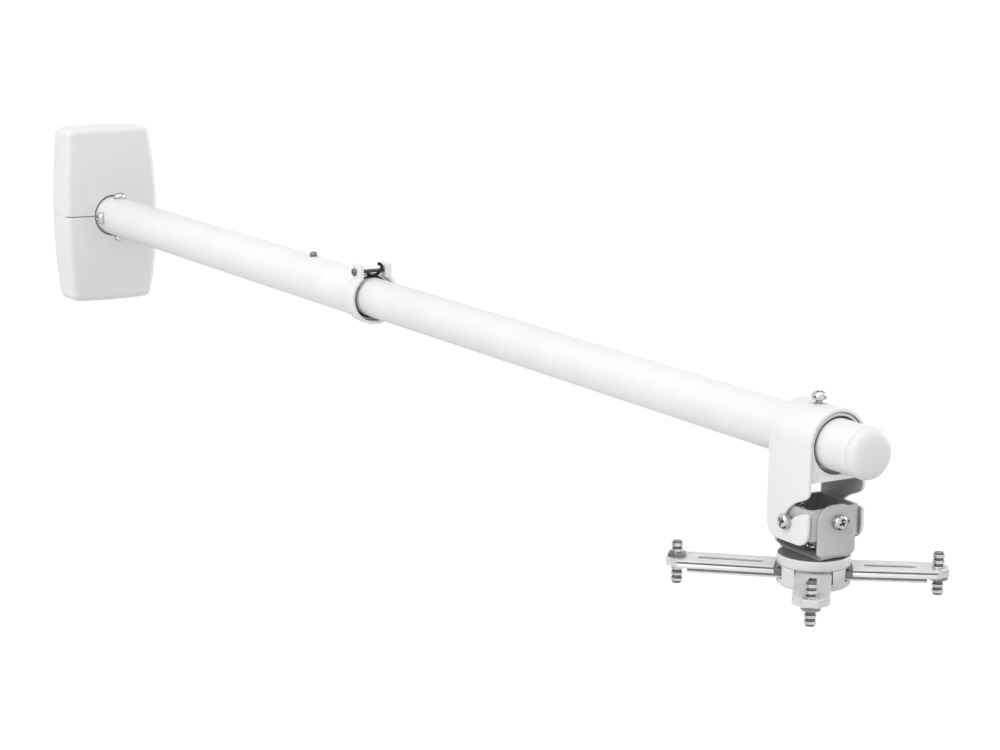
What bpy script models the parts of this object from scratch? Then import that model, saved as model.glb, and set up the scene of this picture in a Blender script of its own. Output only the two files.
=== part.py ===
"""Short-throw projector wall mount: covered wall plate, telescopic tube, tilting hub, four arms.

Metres. The wall is the plane y = 0, the tube's axis is x = z = 0 and runs towards -y, +z is up.
Stations called d are distances from the wall, so y = -d.
"""

import math

import bmesh
import bpy
from mathutils import Matrix, Vector

# Driving dimensions
OUTER_RADIUS = 0.024
INNER_RADIUS = 0.020
TUBE_WALL = 0.002
OUTER_END_D = 0.758
INNER_END_D = 1.551
HEAD_FROM_END = 0.058
HEAD_D = INNER_END_D - HEAD_FROM_END
COVER_HALF_HEIGHT = 0.111
COVER_HALF_WIDTH = 0.0615
COVER_DEPTH = 0.054
TILT_Z = -0.062
ROLL_Z = -0.060
ARM_HALF_WIDTH = 0.014
HUB_RADIUS = 0.0285
HUB_PHASE_DEG = -38.0
# Each arm: name, its window, its turn from the window's middle in degrees, post radius, nut side
ARMS = (
    ("right", 0, 2.3, 0.0953, -1),
    ("rear", 1, -2.0, 0.0980, 1),
    ("left", 2, -3.7, 0.1060, 1),
    ("front", 3, -1.6, 0.0936, -1),
)

# Clearances
SEAT_GAP = 0.0003
SEAM_HALF = 0.0003
OVERCUT = 0.003

# Wall plate with its stub tube
PLATE_HALF_WIDTH = 0.046
PLATE_HALF_HEIGHT = 0.093
PLATE_THICKNESS = 0.004
PLATE_CORNER = 0.008
PLATE_SLOT_X = 0.034
PLATE_SLOT_Z = 0.070
PLATE_SLOT_RADIUS = 0.004
PLATE_SLOT_STRAIGHT = 0.012
STUB_WALL = 0.003
STUB_END_D = 0.095

# Cover
COVER_WALL = 0.0024
COVER_TOP_HALF_WIDTH = 0.055
COVER_BOTTOM_HALF_WIDTH = 0.053
COVER_ARCH = 0.0015
COVER_CORNER = 0.0105
COVER_EDGE = 0.009
COVER_FALL = 0.010
COVER_FALL_POWER = 2.2
COVER_CROWN = 0.0015
COVER_HOLE = 0.0264
COVER_BOSS_X = 0.018
COVER_BOSS_Z = 0.084
COVER_BOSS_RADIUS = 0.004

# Screws of the outer tube
SOCKET_SCREW_D = 0.0724
SOCKET_SHANK = 0.004
SOCKET_HEAD = 0.00825
SOCKET_HEAD_HEIGHT = 0.006
SOCKET_TIP_R = 0.017
LOCK_FROM_END = 0.133
LOCK_D = OUTER_END_D - LOCK_FROM_END
LOCK_SHANK = 0.0025
LOCK_HEAD = 0.00425
LOCK_HEAD_HEIGHT = 0.0028

# Clamp collar, its bolt and the hook
COLLAR_OVERLAP = 0.008
COLLAR_BEYOND = 0.010
COLLAR_START_D = OUTER_END_D - COLLAR_OVERLAP
COLLAR_END_D = OUTER_END_D + COLLAR_BEYOND
COLLAR_WALL = 0.003
EAR_INNER_X = 0.014
EAR_OUTER_X = 0.0178
EAR_TOP_Z = 0.035
EAR_CORNER = 0.0015
COLLAR_BOLT_SETBACK = 0.002
COLLAR_BOLT_D = OUTER_END_D - COLLAR_BOLT_SETBACK
COLLAR_BOLT_Z = 0.0265
COLLAR_BOLT_SHANK = 0.002
COLLAR_BOLT_HEAD = 0.004
COLLAR_BOLT_HEAD_HEIGHT = 0.0031
COLLAR_BOLT_BEYOND = 0.001
COLLAR_NUT_FLATS = 0.007
COLLAR_NUT_HEIGHT = 0.0032
WIRE_RADIUS = 0.0016

# Bushes
BUSH_RADIAL_GAP = 0.00035
GUIDE_BUSH_LENGTH = 0.022
GUIDE_BUSH_SETBACK = 0.002
GUIDE_BUSH_END_D = OUTER_END_D - GUIDE_BUSH_SETBACK
GUIDE_BUSH_START_D = GUIDE_BUSH_END_D - GUIDE_BUSH_LENGTH
TUBE_OVERLAP = 0.158
INNER_START_D = OUTER_END_D - TUBE_OVERLAP
REAR_BUSH_SETBACK = 0.002
REAR_BUSH_LENGTH = 0.015
REAR_BUSH_START_D = INNER_START_D + REAR_BUSH_SETBACK
REAR_BUSH_END_D = REAR_BUSH_START_D + REAR_BUSH_LENGTH

# End cap
CAP_RADIUS = 0.0202
CAP_PLUG_DEPTH = 0.016
CAP_HEIGHT = 0.0098
CAP_WALL = 0.002

# Saddle
SHEET = 0.003
SADDLE_HALF_WIDTH = 0.0275
SADDLE_HALF_DEPTH = 0.0254
SADDLE_LEG_Z = -0.0783
SADDLE_LEG_CORNER = 0.012
SADDLE_PLATE = 0.0025
SADDLE_PLATE_INSET = 0.001
SADDLE_PLATE_Z = -0.0283
SADDLE_HOLE = 0.0212
SADDLE_SCREW_HEAD_Z = 0.0307

# M6 fixings
M6_SHANK = 0.003
M6_HEAD = 0.006
M6_HEAD_HEIGHT = 0.0046
M6_WASHER_HEIGHT = 0.0015
M6_NUT_FLATS = 0.010
M6_NUT_HEIGHT = 0.005
M6_TIP = 0.0145

# Tilt block and roll bracket
BLOCK_HALF_HEIGHT = 0.012
BLOCK_CORNER = 0.004
BRACKET_HALF_WIDTH = 0.0173
BRACKET_TOP_Z = -0.047
BRACKET_BASE_Z = -0.090
BRACKET_TOP_CORNER = 0.013
BRACKET_BEND = 0.002
BRACKET_BASE_HALF = 0.0135
BRACKET_TAPER_Z = -0.0845
MARK_HOLE = 0.0014
MARK_HOLE_X = 0.0108
MARK_HOLE_Z = -0.061

# Hub
DISC_TOP_Z = BRACKET_BASE_Z - SEAT_GAP
DISC_BOTTOM_Z = -0.0985
SPIGOT_Z = -0.1014
HUB_WALL = 0.002
HUB_BOTTOM_Z = -0.115
HUB_EDGE = 0.0015
HUB_FLOOR_Z = -0.1093
WINDOW_HALF = 0.0147
HUB_BOLT_SHANK = 0.004
HUB_BOLT_HEAD = 0.0070
HUB_BOLT_HEAD_HEIGHT = 0.0055
HUB_BOLT_TIP_Z = -0.1202
HUB_NUT_FLATS = 0.013
HUB_NUT_HEIGHT = 0.004

# Arms
PIVOT_U = 0.0215
PIVOT_SHANK = 0.0025
PIVOT_HEAD = 0.00425
PIVOT_HEAD_HEIGHT = 0.003
PIVOT_TIP_Z = -0.094
PIVOT_HOLE_TOP_Z = -0.0932
RAIL_TOP_Z = SPIGOT_Z - SEAT_GAP
RAIL_BOTTOM_Z = HUB_FLOOR_Z + SEAT_GAP
RAIL_WALL = 0.002
RAIL_HALF_WIDTH = 0.0117
CHANNEL_TOP_Z = -0.0994
CHANNEL_BOTTOM_Z = -0.1055
CHANNEL_START_U = 0.0294
GROOVE_HALF = RAIL_HALF_WIDTH + SEAT_GAP
GROOVE_TOP_Z = RAIL_TOP_Z + SEAT_GAP
NOSE_BLOCK = 0.009
NOSE_LENGTH = 0.008
NOSE_HALF = 0.0055
NOSE_SHOULDER = 0.002
NOSE_ROUND = 0.002
SLOT_START_U = 0.038
SLOT_HALF = 0.0032
SLOT_TO_POST = 0.016

# Posts
POST_TOP_Z = -0.0873
POST_BOTTOM_Z = -0.1207
POST_RIB = 0.0045
POST_GROOVE = 0.0034
POST_PITCH = 0.00465
POST_CREST = 0.0022
POST_NUT_FLATS = 0.013
POST_NUT_HEIGHT = 0.0033

# Facets of round shapes
TUBE_STEPS = 40
DISC_STEPS = 40
BUSH_STEPS = 24
SCREW_STEPS = 12
POST_STEPS = 12
HOLE_STEPS = 12
BEND_STEPS = 4

WHITE_PAINT = (0.86, 0.86, 0.85, 1.0)
WHITE_PLASTIC = (0.88, 0.88, 0.87, 1.0)
STEEL = (0.60, 0.60, 0.61, 1.0)
DARK_STEEL = (0.10, 0.10, 0.11, 1.0)
GREY_PLASTIC = (0.35, 0.35, 0.36, 1.0)
BLACK_PAINT = (0.02, 0.02, 0.02, 1.0)
# Finish: colour, metallic, roughness
PAINTED = (WHITE_PAINT, 0.0, 0.40)
MOULDED = (WHITE_PLASTIC, 0.0, 0.50)
PLATED = (STEEL, 1.0, 0.30)
BLACKENED = (DARK_STEEL, 1.0, 0.45)
NYLON = (GREY_PLASTIC, 0.0, 0.55)
COATED_WIRE = (BLACK_PAINT, 0.0, 0.40)

OUTWARD = Vector((0.0, -1.0, 0.0))
UP = Vector((0.0, 0.0, 1.0))
SIDE = Vector((1.0, 0.0, 0.0))

for old in list(bpy.data.objects):
    bpy.data.objects.remove(old, do_unlink=True)

PARTS = bpy.data.collections.new("projector_wall_mount")
CUTTERS = bpy.data.collections.new("cutters")
bpy.context.scene.collection.children.link(PARTS)
bpy.context.scene.collection.children.link(CUTTERS)
CUTTERS.hide_render = True


def at(x, d, z):
    """World point at distance d from the wall."""
    return Vector((x, -d, z))


def frame_at(origin, x_axis, y_axis):
    """Matrix whose local X and Y run along two world directions."""
    x = Vector(x_axis).normalized()
    y = Vector(y_axis).normalized()
    return Matrix.Translation(origin) @ Matrix((x, y, x.cross(y))).transposed().to_4x4()


def facing(origin, direction):
    """Matrix whose local Z points along a world direction."""
    turn = Vector(direction).to_track_quat("Z", "Y").to_matrix().to_4x4()
    return Matrix.Translation(origin) @ turn


def paint(obj, finish):
    """Gives the object a Principled material of its own."""
    colour, metallic, roughness = finish
    made = bpy.data.materials.new(obj.name)
    made.use_nodes = True
    shader = made.node_tree.nodes["Principled BSDF"]
    shader.inputs["Base Color"].default_value = colour
    shader.inputs["Metallic"].default_value = metallic
    shader.inputs["Roughness"].default_value = roughness
    made.diffuse_color = colour
    obj.data.materials.clear()
    obj.data.materials.append(made)


def add(name, mesh, matrix, finish=None):
    """Links a mesh as a part with a finish, or as a cutter without one."""
    obj = bpy.data.objects.new(name, mesh)
    obj.matrix_world = matrix
    if finish:
        PARTS.objects.link(obj)
        paint(obj, finish)
    else:
        CUTTERS.objects.link(obj)
        obj.hide_render = True
        obj.display_type = "WIRE"
    return obj


def turned(name, profile, matrix, finish=None, steps=SCREW_STEPS, ring=False):
    """Turned piece: (radius, height) points, down the outer side; a ring's profile closes on itself."""
    mesh = bpy.data.meshes.new(name)
    points = [(radius, 0.0, height) for radius, height in profile]
    edges = [(i, i + 1) for i in range(len(points) - 1)]
    if ring:
        edges.append((len(points) - 1, 0))
    mesh.from_pydata(points, edges, [])
    obj = add(name, mesh, matrix, finish)
    screw = obj.modifiers.new("turn", "SCREW")
    screw.axis = "Z"
    screw.angle = 2.0 * math.pi
    screw.steps = steps
    screw.render_steps = steps
    screw.use_smooth_shade = True
    screw.use_merge_vertices = True
    screw.merge_threshold = 0.00001
    return obj


def ring_profile(inner, outer, bottom, top):
    """Square-edged ring section, outer side first."""
    return [(outer, top), (outer, bottom), (inner, bottom), (inner, top)]


def baked(obj):
    """Mesh of the object with its modifiers applied; the object is removed."""
    bpy.context.view_layer.update()
    graph = bpy.context.evaluated_depsgraph_get()
    mesh = bpy.data.meshes.new_from_object(obj.evaluated_get(graph))
    bpy.data.objects.remove(obj, do_unlink=True)
    return mesh


def outlined(name, loops, thickness, matrix, finish=None):
    """Flat outlines filled and given a thickness, centred on the local XY plane."""
    curve = bpy.data.curves.new(name, "CURVE")
    curve.dimensions = "2D"
    curve.fill_mode = "BOTH"
    curve.extrude = thickness / 2.0
    for loop in loops:
        spline = curve.splines.new("POLY")
        spline.points.add(len(loop) - 1)
        for point, (x, y) in zip(spline.points, loop):
            point.co = (x, y, 0.0, 1.0)
        spline.use_cyclic_u = True
    shape = bpy.data.objects.new(name, curve)
    CUTTERS.objects.link(shape)
    mesh = baked(shape)
    bpy.data.curves.remove(curve)
    welded = bmesh.new()
    welded.from_mesh(mesh)
    bmesh.ops.remove_doubles(welded, verts=welded.verts, dist=0.000001)
    bmesh.ops.recalc_face_normals(welded, faces=welded.faces)
    welded.to_mesh(mesh)
    welded.free()
    return add(name, mesh, matrix, finish)


def rod(name, radius, start, end, steps=HOLE_STEPS):
    """Round cutter between two world points."""
    middle = (start + end) / 2.0
    bpy.ops.mesh.primitive_cylinder_add(vertices=steps, radius=radius, depth=(end - start).length)
    made = bpy.context.object
    mesh = made.data
    bpy.data.objects.remove(made, do_unlink=True)
    return add(name, mesh, facing(middle, end - start))


def combine(obj, other, operation="DIFFERENCE"):
    """Adds an exact Boolean with another object."""
    modifier = obj.modifiers.new(other.name, "BOOLEAN")
    modifier.solver = "EXACT"
    modifier.operation = operation
    modifier.object = other


def arc(cx, cy, radius, start_deg, end_deg, steps):
    """Points of an arc, both ends included."""
    angles = [start_deg + (end_deg - start_deg) * i / steps for i in range(steps + 1)]
    return [
        (cx + radius * math.cos(math.radians(a)), cy + radius * math.sin(math.radians(a)))
        for a in angles
    ]


def circle(cx, cy, radius, steps):
    """Closed loop of a circle."""
    return arc(cx, cy, radius, 0.0, 360.0, steps)[:-1]


def rounded_rectangle(half_x, half_y, radius, steps=BEND_STEPS):
    """Closed loop of a rectangle with round corners, centred."""
    loop = []
    for i, (sx, sy) in enumerate(((1, 1), (-1, 1), (-1, -1), (1, -1))):
        cx = sx * (half_x - radius)
        cy = sy * (half_y - radius)
        loop += arc(cx, cy, radius, 90.0 * i, 90.0 * (i + 1), steps)
    return loop


def stadium(start, end, radius, steps=8):
    """Closed loop of a slot along local X."""
    return arc(end, 0.0, radius, -90.0, 90.0, steps) + arc(start, 0.0, radius, 90.0, 270.0, steps)


def hexagon(flats):
    """Closed loop of a hexagon across its flats."""
    return circle(0.0, 0.0, flats / math.sqrt(3.0), 6)


def plus(reach, half):
    """Closed loop of a cross recess."""
    quarter = [(reach, -0.8 * half), (reach, 0.8 * half), (half, half)]
    loop = []
    for _ in range(4):
        loop += quarter
        quarter = [(-y, x) for x, y in quarter]
    return loop


def pan_profile(head, height, shank, length):
    """Pan-head screw section: seat at 0, head above it, shank below."""
    return [
        (0.0, height),
        (0.55 * head, 0.96 * height),
        (0.85 * head, 0.78 * height),
        (head, 0.40 * height),
        (head, 0.0),
        (shank, 0.0),
        (shank, 0.0006 - length),
        (shank - 0.0006, -length),
        (0.0, -length),
    ]


def screw_mesh(name, head, height, shank, length, hexagonal=False):
    """Mesh of one pan-head screw with its drive recess."""
    body = turned(name, pan_profile(head, height, shank, length), Matrix(), PLATED)
    depth = 0.5 * height
    loop = hexagon(0.75 * head) if hexagonal else plus(0.52 * head, 0.11 * head)
    middle = Matrix.Translation((0.0, 0.0, height - depth + 0.5 * (depth + OVERCUT)))
    recess = outlined(name + "_recess", [loop], depth + OVERCUT, middle)
    combine(body, recess)
    mesh = baked(body)
    bpy.data.objects.remove(recess, do_unlink=True)
    return mesh


def nut(name, flats, height, hole, matrix, finish=PLATED):
    """Hexagon nut with a smooth bore, seat at the local origin, body along local Z."""
    shift = matrix @ Matrix.Translation((0.0, 0.0, height / 2.0))
    return outlined(name, [hexagon(flats), circle(0.0, 0.0, hole, HOLE_STEPS)], height, shift, finish)


# Wall plate: one weldment of a slotted plate and a stub tube

stub_outer = OUTER_RADIUS - TUBE_WALL - SEAT_GAP
plate_loops = [rounded_rectangle(PLATE_HALF_WIDTH, PLATE_HALF_HEIGHT, PLATE_CORNER)]
for slot_x in (-PLATE_SLOT_X, PLATE_SLOT_X):
    for slot_z in (-PLATE_SLOT_Z, PLATE_SLOT_Z):
        straight = stadium(-PLATE_SLOT_STRAIGHT / 2.0, PLATE_SLOT_STRAIGHT / 2.0, PLATE_SLOT_RADIUS)
        plate_loops.append([(slot_x - v, slot_z + u) for u, v in straight])
wall_plate = outlined(
    "wall_plate",
    plate_loops,
    PLATE_THICKNESS,
    frame_at(at(0.0, PLATE_THICKNESS / 2.0, 0.0), SIDE, UP),
    PAINTED,
)
stub = turned(
    "stub_tube",
    ring_profile(stub_outer - STUB_WALL, stub_outer, PLATE_THICKNESS / 2.0, STUB_END_D),
    facing(at(0.0, 0.0, 0.0), OUTWARD),
    steps=TUBE_STEPS,
    ring=True,
)
combine(wall_plate, stub, "UNION")

reach = OUTER_RADIUS + OVERCUT
across = rod(
    "socket_hole_across",
    SOCKET_SHANK + SEAT_GAP,
    at(-reach, SOCKET_SCREW_D, 0.0),
    at(reach, SOCKET_SCREW_D, 0.0),
)
upright = rod(
    "socket_hole_upright",
    SOCKET_SHANK + SEAT_GAP,
    at(0.0, SOCKET_SCREW_D, -reach),
    at(0.0, SOCKET_SCREW_D, reach),
)
combine(wall_plate, across)
combine(wall_plate, upright)

# Outer tube

outer_tube = turned(
    "outer_tube",
    ring_profile(
        OUTER_RADIUS - TUBE_WALL,
        OUTER_RADIUS,
        PLATE_THICKNESS + SEAT_GAP,
        OUTER_END_D,
    ),
    facing(at(0.0, 0.0, 0.0), OUTWARD),
    PAINTED,
    TUBE_STEPS,
    ring=True,
)
lock_hole = rod(
    "lock_hole",
    LOCK_SHANK + SEAT_GAP,
    at(0.0, LOCK_D, INNER_RADIUS - OVERCUT),
    at(0.0, LOCK_D, OUTER_RADIUS + OVERCUT),
    12,
)
combine(outer_tube, across)
combine(outer_tube, upright)
combine(outer_tube, lock_hole)

# Screws that clamp the outer tube on the stub

socket_seat = OUTER_RADIUS + SEAT_GAP
socket_mesh = screw_mesh(
    "socket_screw",
    SOCKET_HEAD,
    SOCKET_HEAD_HEIGHT,
    SOCKET_SHANK,
    socket_seat - SOCKET_TIP_R,
)
for side_name, outward in (("top", UP), ("bottom", -UP), ("left", -SIDE), ("right", SIDE)):
    seat = at(0.0, SOCKET_SCREW_D, 0.0) + socket_seat * outward
    add("socket_screw_" + side_name, socket_mesh.copy(), facing(seat, outward), PLATED)

lock_mesh = screw_mesh(
    "lock_screw",
    LOCK_HEAD,
    LOCK_HEAD_HEIGHT,
    LOCK_SHANK,
    OUTER_RADIUS - INNER_RADIUS,
    hexagonal=True,
)
add("lock_screw", lock_mesh, facing(at(0.0, LOCK_D, socket_seat), UP), BLACKENED)

# Cover halves: an open shell from rim to tube hole, mirrored and thickened


def cover_depth(x, z):
    """Distance of the cover's front skin from the wall."""
    fall = COVER_FALL * (abs(z) / COVER_HALF_HEIGHT) ** COVER_FALL_POWER
    return COVER_DEPTH - fall - COVER_CROWN * (x / COVER_HALF_WIDTH) ** 2


def cover_outline(end_half_width):
    """Quarter outline from the seam to the end's middle."""
    def side(z):
        return COVER_HALF_WIDTH - (COVER_HALF_WIDTH - end_half_width) * (z / COVER_HALF_HEIGHT) ** 2

    def end(x):
        return COVER_HALF_HEIGHT - COVER_ARCH * (x / end_half_width) ** 2

    corner_x = side(COVER_HALF_HEIGHT - COVER_CORNER) - COVER_CORNER
    corner_z = end(corner_x) - COVER_CORNER
    side_steps = 5
    end_steps = 3
    points = []
    for i in range(side_steps):
        z = SEAM_HALF + (corner_z - SEAM_HALF) * i / side_steps
        points.append((side(z), z))
    points += arc(corner_x, corner_z, COVER_CORNER, 0.0, 90.0, BEND_STEPS)
    for i in range(1, end_steps + 1):
        x = corner_x * (1.0 - i / end_steps)
        points.append((x, end(x)))
    return points


def cover_rings(end_half_width):
    """Rings of (x, distance, z) from the rim at the wall to the tube's hole."""
    outline = cover_outline(end_half_width)
    last = len(outline) - 1
    normals = []
    for i in range(last + 1):
        before = outline[max(i - 1, 0)]
        after = outline[min(i + 1, last)]
        along = Vector((after[0] - before[0], after[1] - before[1])).normalized()
        normals.append(Vector((along.y, -along.x)))
    normals[0] = Vector((1.0, 0.0))
    normals[last] = Vector((0.0, 1.0))
    start = math.asin(SEAM_HALF / COVER_HOLE)
    hole = []
    for i in range(last + 1):
        angle = start + (math.pi / 2.0 - start) * i / last
        hole.append(Vector((COVER_HOLE * math.cos(angle), COVER_HOLE * math.sin(angle))))
    inset = [Vector(p) - COVER_EDGE * n for p, n in zip(outline, normals)]
    rings = [[(p[0], SEAT_GAP, p[1]) for p in outline]]
    for degrees in (0.0, 30.0, 60.0, 90.0):
        angle = math.radians(degrees)
        ring = []
        for point, normal, inner in zip(outline, normals, inset):
            moved = Vector(point) - COVER_EDGE * (1.0 - math.cos(angle)) * normal
            depth = cover_depth(inner.x, inner.y) - COVER_EDGE * (1.0 - math.sin(angle))
            ring.append((moved.x, depth, moved.y))
        rings.append(ring)
    for share in (0.4, 0.8, 1.0):
        ring = []
        for inner, rim in zip(inset, hole):
            point = inner.lerp(rim, share)
            ring.append((point.x, cover_depth(point.x, point.y), point.y))
        rings.append(ring)
    return rings


def cover_half(name, end_half_width, sign):
    """Half of the cover above (sign 1) or below (sign -1) the seam."""
    rings = cover_rings(end_half_width)
    count = len(rings[0])
    points = [(x, -d, sign * z) for ring in rings for x, d, z in ring]
    faces = []
    for row in range(len(rings) - 1):
        for i in range(count - 1):
            a = row * count + i
            quad = (a, a + 1, a + 1 + count, a + count)
            faces.append(quad if sign > 0 else quad[::-1])
    mesh = bpy.data.meshes.new(name)
    mesh.from_pydata(points, [], faces)
    mesh.shade_smooth()
    obj = add(name, mesh, Matrix(), MOULDED)
    mirror = obj.modifiers.new("both_sides", "MIRROR")
    mirror.merge_threshold = 0.00001
    skin = obj.modifiers.new("wall", "SOLIDIFY")
    skin.thickness = COVER_WALL
    skin.offset = -1.0
    skin.use_even_offset = True
    boss_front = cover_depth(COVER_BOSS_X, COVER_BOSS_Z) - 0.4 * COVER_WALL
    for boss_x in (-COVER_BOSS_X, COVER_BOSS_X):
        boss = rod(
            name + "_boss",
            COVER_BOSS_RADIUS,
            at(boss_x, PLATE_THICKNESS + SEAT_GAP, sign * COVER_BOSS_Z),
            at(boss_x, boss_front, sign * COVER_BOSS_Z),
            12,
        )
        combine(obj, boss, "UNION")


cover_half("cover_upper", COVER_TOP_HALF_WIDTH, 1)
cover_half("cover_lower", COVER_BOTTOM_HALF_WIDTH, -1)

# Clamp collar: a split ring with two ears

collar_inner = OUTER_RADIUS + SEAT_GAP
collar_outer = collar_inner + COLLAR_WALL
inner_deg = math.degrees(math.acos(EAR_INNER_X / collar_inner))
outer_deg = math.degrees(math.acos(EAR_OUTER_X / collar_outer))
right_ear = arc(EAR_OUTER_X - EAR_CORNER, EAR_TOP_Z - EAR_CORNER, EAR_CORNER, 0.0, 90.0, 3)
right_ear += arc(EAR_INNER_X + EAR_CORNER, EAR_TOP_Z - EAR_CORNER, EAR_CORNER, 90.0, 180.0, 3)
left_ear = [(-x, z) for x, z in reversed(right_ear)]
collar_loop = arc(0.0, 0.0, collar_outer, 180.0 - outer_deg, 360.0 + outer_deg, 32)
collar_loop += right_ear
collar_loop += arc(0.0, 0.0, collar_inner, 360.0 + inner_deg, 180.0 - inner_deg, 32)
collar_loop += left_ear
collar_middle_d = (COLLAR_START_D + COLLAR_END_D) / 2.0
clamp_collar = outlined(
    "clamp_collar",
    [collar_loop],
    COLLAR_END_D - COLLAR_START_D,
    frame_at(at(0.0, collar_middle_d, 0.0), SIDE, UP),
    PAINTED,
)
ear_hole = rod(
    "ear_hole",
    COLLAR_BOLT_SHANK + SEAT_GAP,
    at(-EAR_OUTER_X - OVERCUT, COLLAR_BOLT_D, COLLAR_BOLT_Z),
    at(EAR_OUTER_X + OVERCUT, COLLAR_BOLT_D, COLLAR_BOLT_Z),
)
combine(clamp_collar, ear_hole)
bolt_seat_x = EAR_OUTER_X + SEAT_GAP
bolt_tip_x = bolt_seat_x + COLLAR_NUT_HEIGHT + COLLAR_BOLT_BEYOND
collar_bolt_mesh = screw_mesh(
    "collar_bolt",
    COLLAR_BOLT_HEAD,
    COLLAR_BOLT_HEAD_HEIGHT,
    COLLAR_BOLT_SHANK,
    bolt_seat_x + bolt_tip_x,
)
bolt_seat = at(-bolt_seat_x, COLLAR_BOLT_D, COLLAR_BOLT_Z)
add("collar_bolt", collar_bolt_mesh, facing(bolt_seat, -SIDE), PLATED)
nut(
    "collar_nut",
    COLLAR_NUT_FLATS,
    COLLAR_NUT_HEIGHT,
    COLLAR_BOLT_SHANK + SEAT_GAP,
    facing(at(bolt_seat_x, COLLAR_BOLT_D, COLLAR_BOLT_Z), SIDE),
)

# Cable hook: one bent wire between the ears, beside the bolt

HOOK_KNOTS = (
    (0.0064, 0.0339),
    (0.0096, 0.0329),
    (0.0110, 0.0298),
    (0.0094, 0.0264),
    (0.0058, 0.0236),
    (0.0014, 0.0220),
    (-0.0029, 0.0224),
    (-0.0054, 0.0245),
)
hook_d = COLLAR_BOLT_D + COLLAR_BOLT_SHANK + SEAT_GAP + WIRE_RADIUS
hook_curve = bpy.data.curves.new("cable_hook", "CURVE")
hook_curve.dimensions = "3D"
hook_curve.bevel_depth = WIRE_RADIUS
hook_curve.bevel_resolution = 2
hook_curve.use_fill_caps = True
hook_spline = hook_curve.splines.new("POLY")
hook_path = []
for i in range(len(HOOK_KNOTS) - 1):
    p0 = Vector(HOOK_KNOTS[max(i - 1, 0)])
    p1 = Vector(HOOK_KNOTS[i])
    p2 = Vector(HOOK_KNOTS[i + 1])
    p3 = Vector(HOOK_KNOTS[min(i + 2, len(HOOK_KNOTS) - 1)])
    hook_path.append(p1)
    hook_path.append(0.5625 * (p1 + p2) - 0.0625 * (p0 + p3))
hook_path.append(Vector(HOOK_KNOTS[-1]))
hook_spline.points.add(len(hook_path) - 1)
for point, knot in zip(hook_spline.points, hook_path):
    point.co = (knot.x, -hook_d, knot.y, 1.0)
hook_shape = bpy.data.objects.new("cable_hook", hook_curve)
CUTTERS.objects.link(hook_shape)
hook_mesh = baked(hook_shape)
hook_weld = bmesh.new()
hook_weld.from_mesh(hook_mesh)
bmesh.ops.remove_doubles(hook_weld, verts=hook_weld.verts, dist=0.000001)
bmesh.ops.recalc_face_normals(hook_weld, faces=hook_weld.faces)
hook_weld.to_mesh(hook_mesh)
hook_weld.free()
add("cable_hook", hook_mesh, Matrix(), COATED_WIRE)

# Inner tube with its bushes and end cap

along_tube = facing(at(0.0, 0.0, 0.0), OUTWARD)
bush_outer = OUTER_RADIUS - TUBE_WALL - SEAT_GAP
turned(
    "guide_bush",
    ring_profile(INNER_RADIUS + BUSH_RADIAL_GAP, bush_outer, GUIDE_BUSH_START_D, GUIDE_BUSH_END_D),
    along_tube,
    NYLON,
    BUSH_STEPS,
    ring=True,
)
turned(
    "rear_bush",
    ring_profile(INNER_RADIUS + SEAT_GAP, bush_outer, REAR_BUSH_START_D, REAR_BUSH_END_D),
    along_tube,
    NYLON,
    BUSH_STEPS,
    ring=True,
)
turned(
    "inner_tube",
    ring_profile(INNER_RADIUS - TUBE_WALL, INNER_RADIUS, INNER_START_D, INNER_END_D),
    along_tube,
    PAINTED,
    TUBE_STEPS,
    ring=True,
)
plug = INNER_RADIUS - TUBE_WALL - SEAT_GAP
cap_profile = [
    (0.0, CAP_HEIGHT),
    (0.45 * CAP_RADIUS, 0.95 * CAP_HEIGHT),
    (0.72 * CAP_RADIUS, 0.80 * CAP_HEIGHT),
    (0.90 * CAP_RADIUS, 0.56 * CAP_HEIGHT),
    (0.985 * CAP_RADIUS, 0.32 * CAP_HEIGHT),
    (CAP_RADIUS, 0.12 * CAP_HEIGHT),
    (CAP_RADIUS, 0.0),
    (plug, 0.0),
    (plug, 0.001 - CAP_PLUG_DEPTH),
    (plug - 0.001, -CAP_PLUG_DEPTH),
    (plug - CAP_WALL, -CAP_PLUG_DEPTH),
    (plug - CAP_WALL, 0.0),
    (0.6 * CAP_RADIUS, CAP_HEIGHT - 2.2 * CAP_WALL),
    (0.0, CAP_HEIGHT - 1.5 * CAP_WALL),
]
turned(
    "end_cap",
    cap_profile,
    facing(at(0.0, INNER_END_D + SEAT_GAP, 0.0), OUTWARD),
    MOULDED,
    BUSH_STEPS,
)

# Saddle: strap bent over the tube, with a plate at each end

strap_inner = SADDLE_HALF_WIDTH - SHEET
leg_end = SADDLE_LEG_Z - OVERCUT
strap_loop = [(SADDLE_HALF_WIDTH, leg_end)]
strap_loop += arc(0.0, 0.0, SADDLE_HALF_WIDTH, 0.0, 180.0, 20)
strap_loop += [(-SADDLE_HALF_WIDTH, leg_end), (-strap_inner, leg_end)]
strap_loop += arc(0.0, 0.0, strap_inner, 180.0, 0.0, 20)
strap_loop += [(strap_inner, leg_end)]
saddle_strap = outlined(
    "saddle_strap",
    [strap_loop],
    2.0 * (SADDLE_HALF_DEPTH + OVERCUT),
    frame_at(at(0.0, HEAD_D, 0.0), SIDE, UP),
    PAINTED,
)
side_loop = [
    (SADDLE_HALF_DEPTH, SADDLE_HALF_WIDTH + OVERCUT),
    (-SADDLE_HALF_DEPTH, SADDLE_HALF_WIDTH + OVERCUT),
]
corner_u = SADDLE_HALF_DEPTH - SADDLE_LEG_CORNER
corner_v = SADDLE_LEG_Z + SADDLE_LEG_CORNER
side_loop += arc(-corner_u, corner_v, SADDLE_LEG_CORNER, 180.0, 270.0, 6)
side_loop += arc(corner_u, corner_v, SADDLE_LEG_CORNER, 270.0, 360.0, 6)
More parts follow.
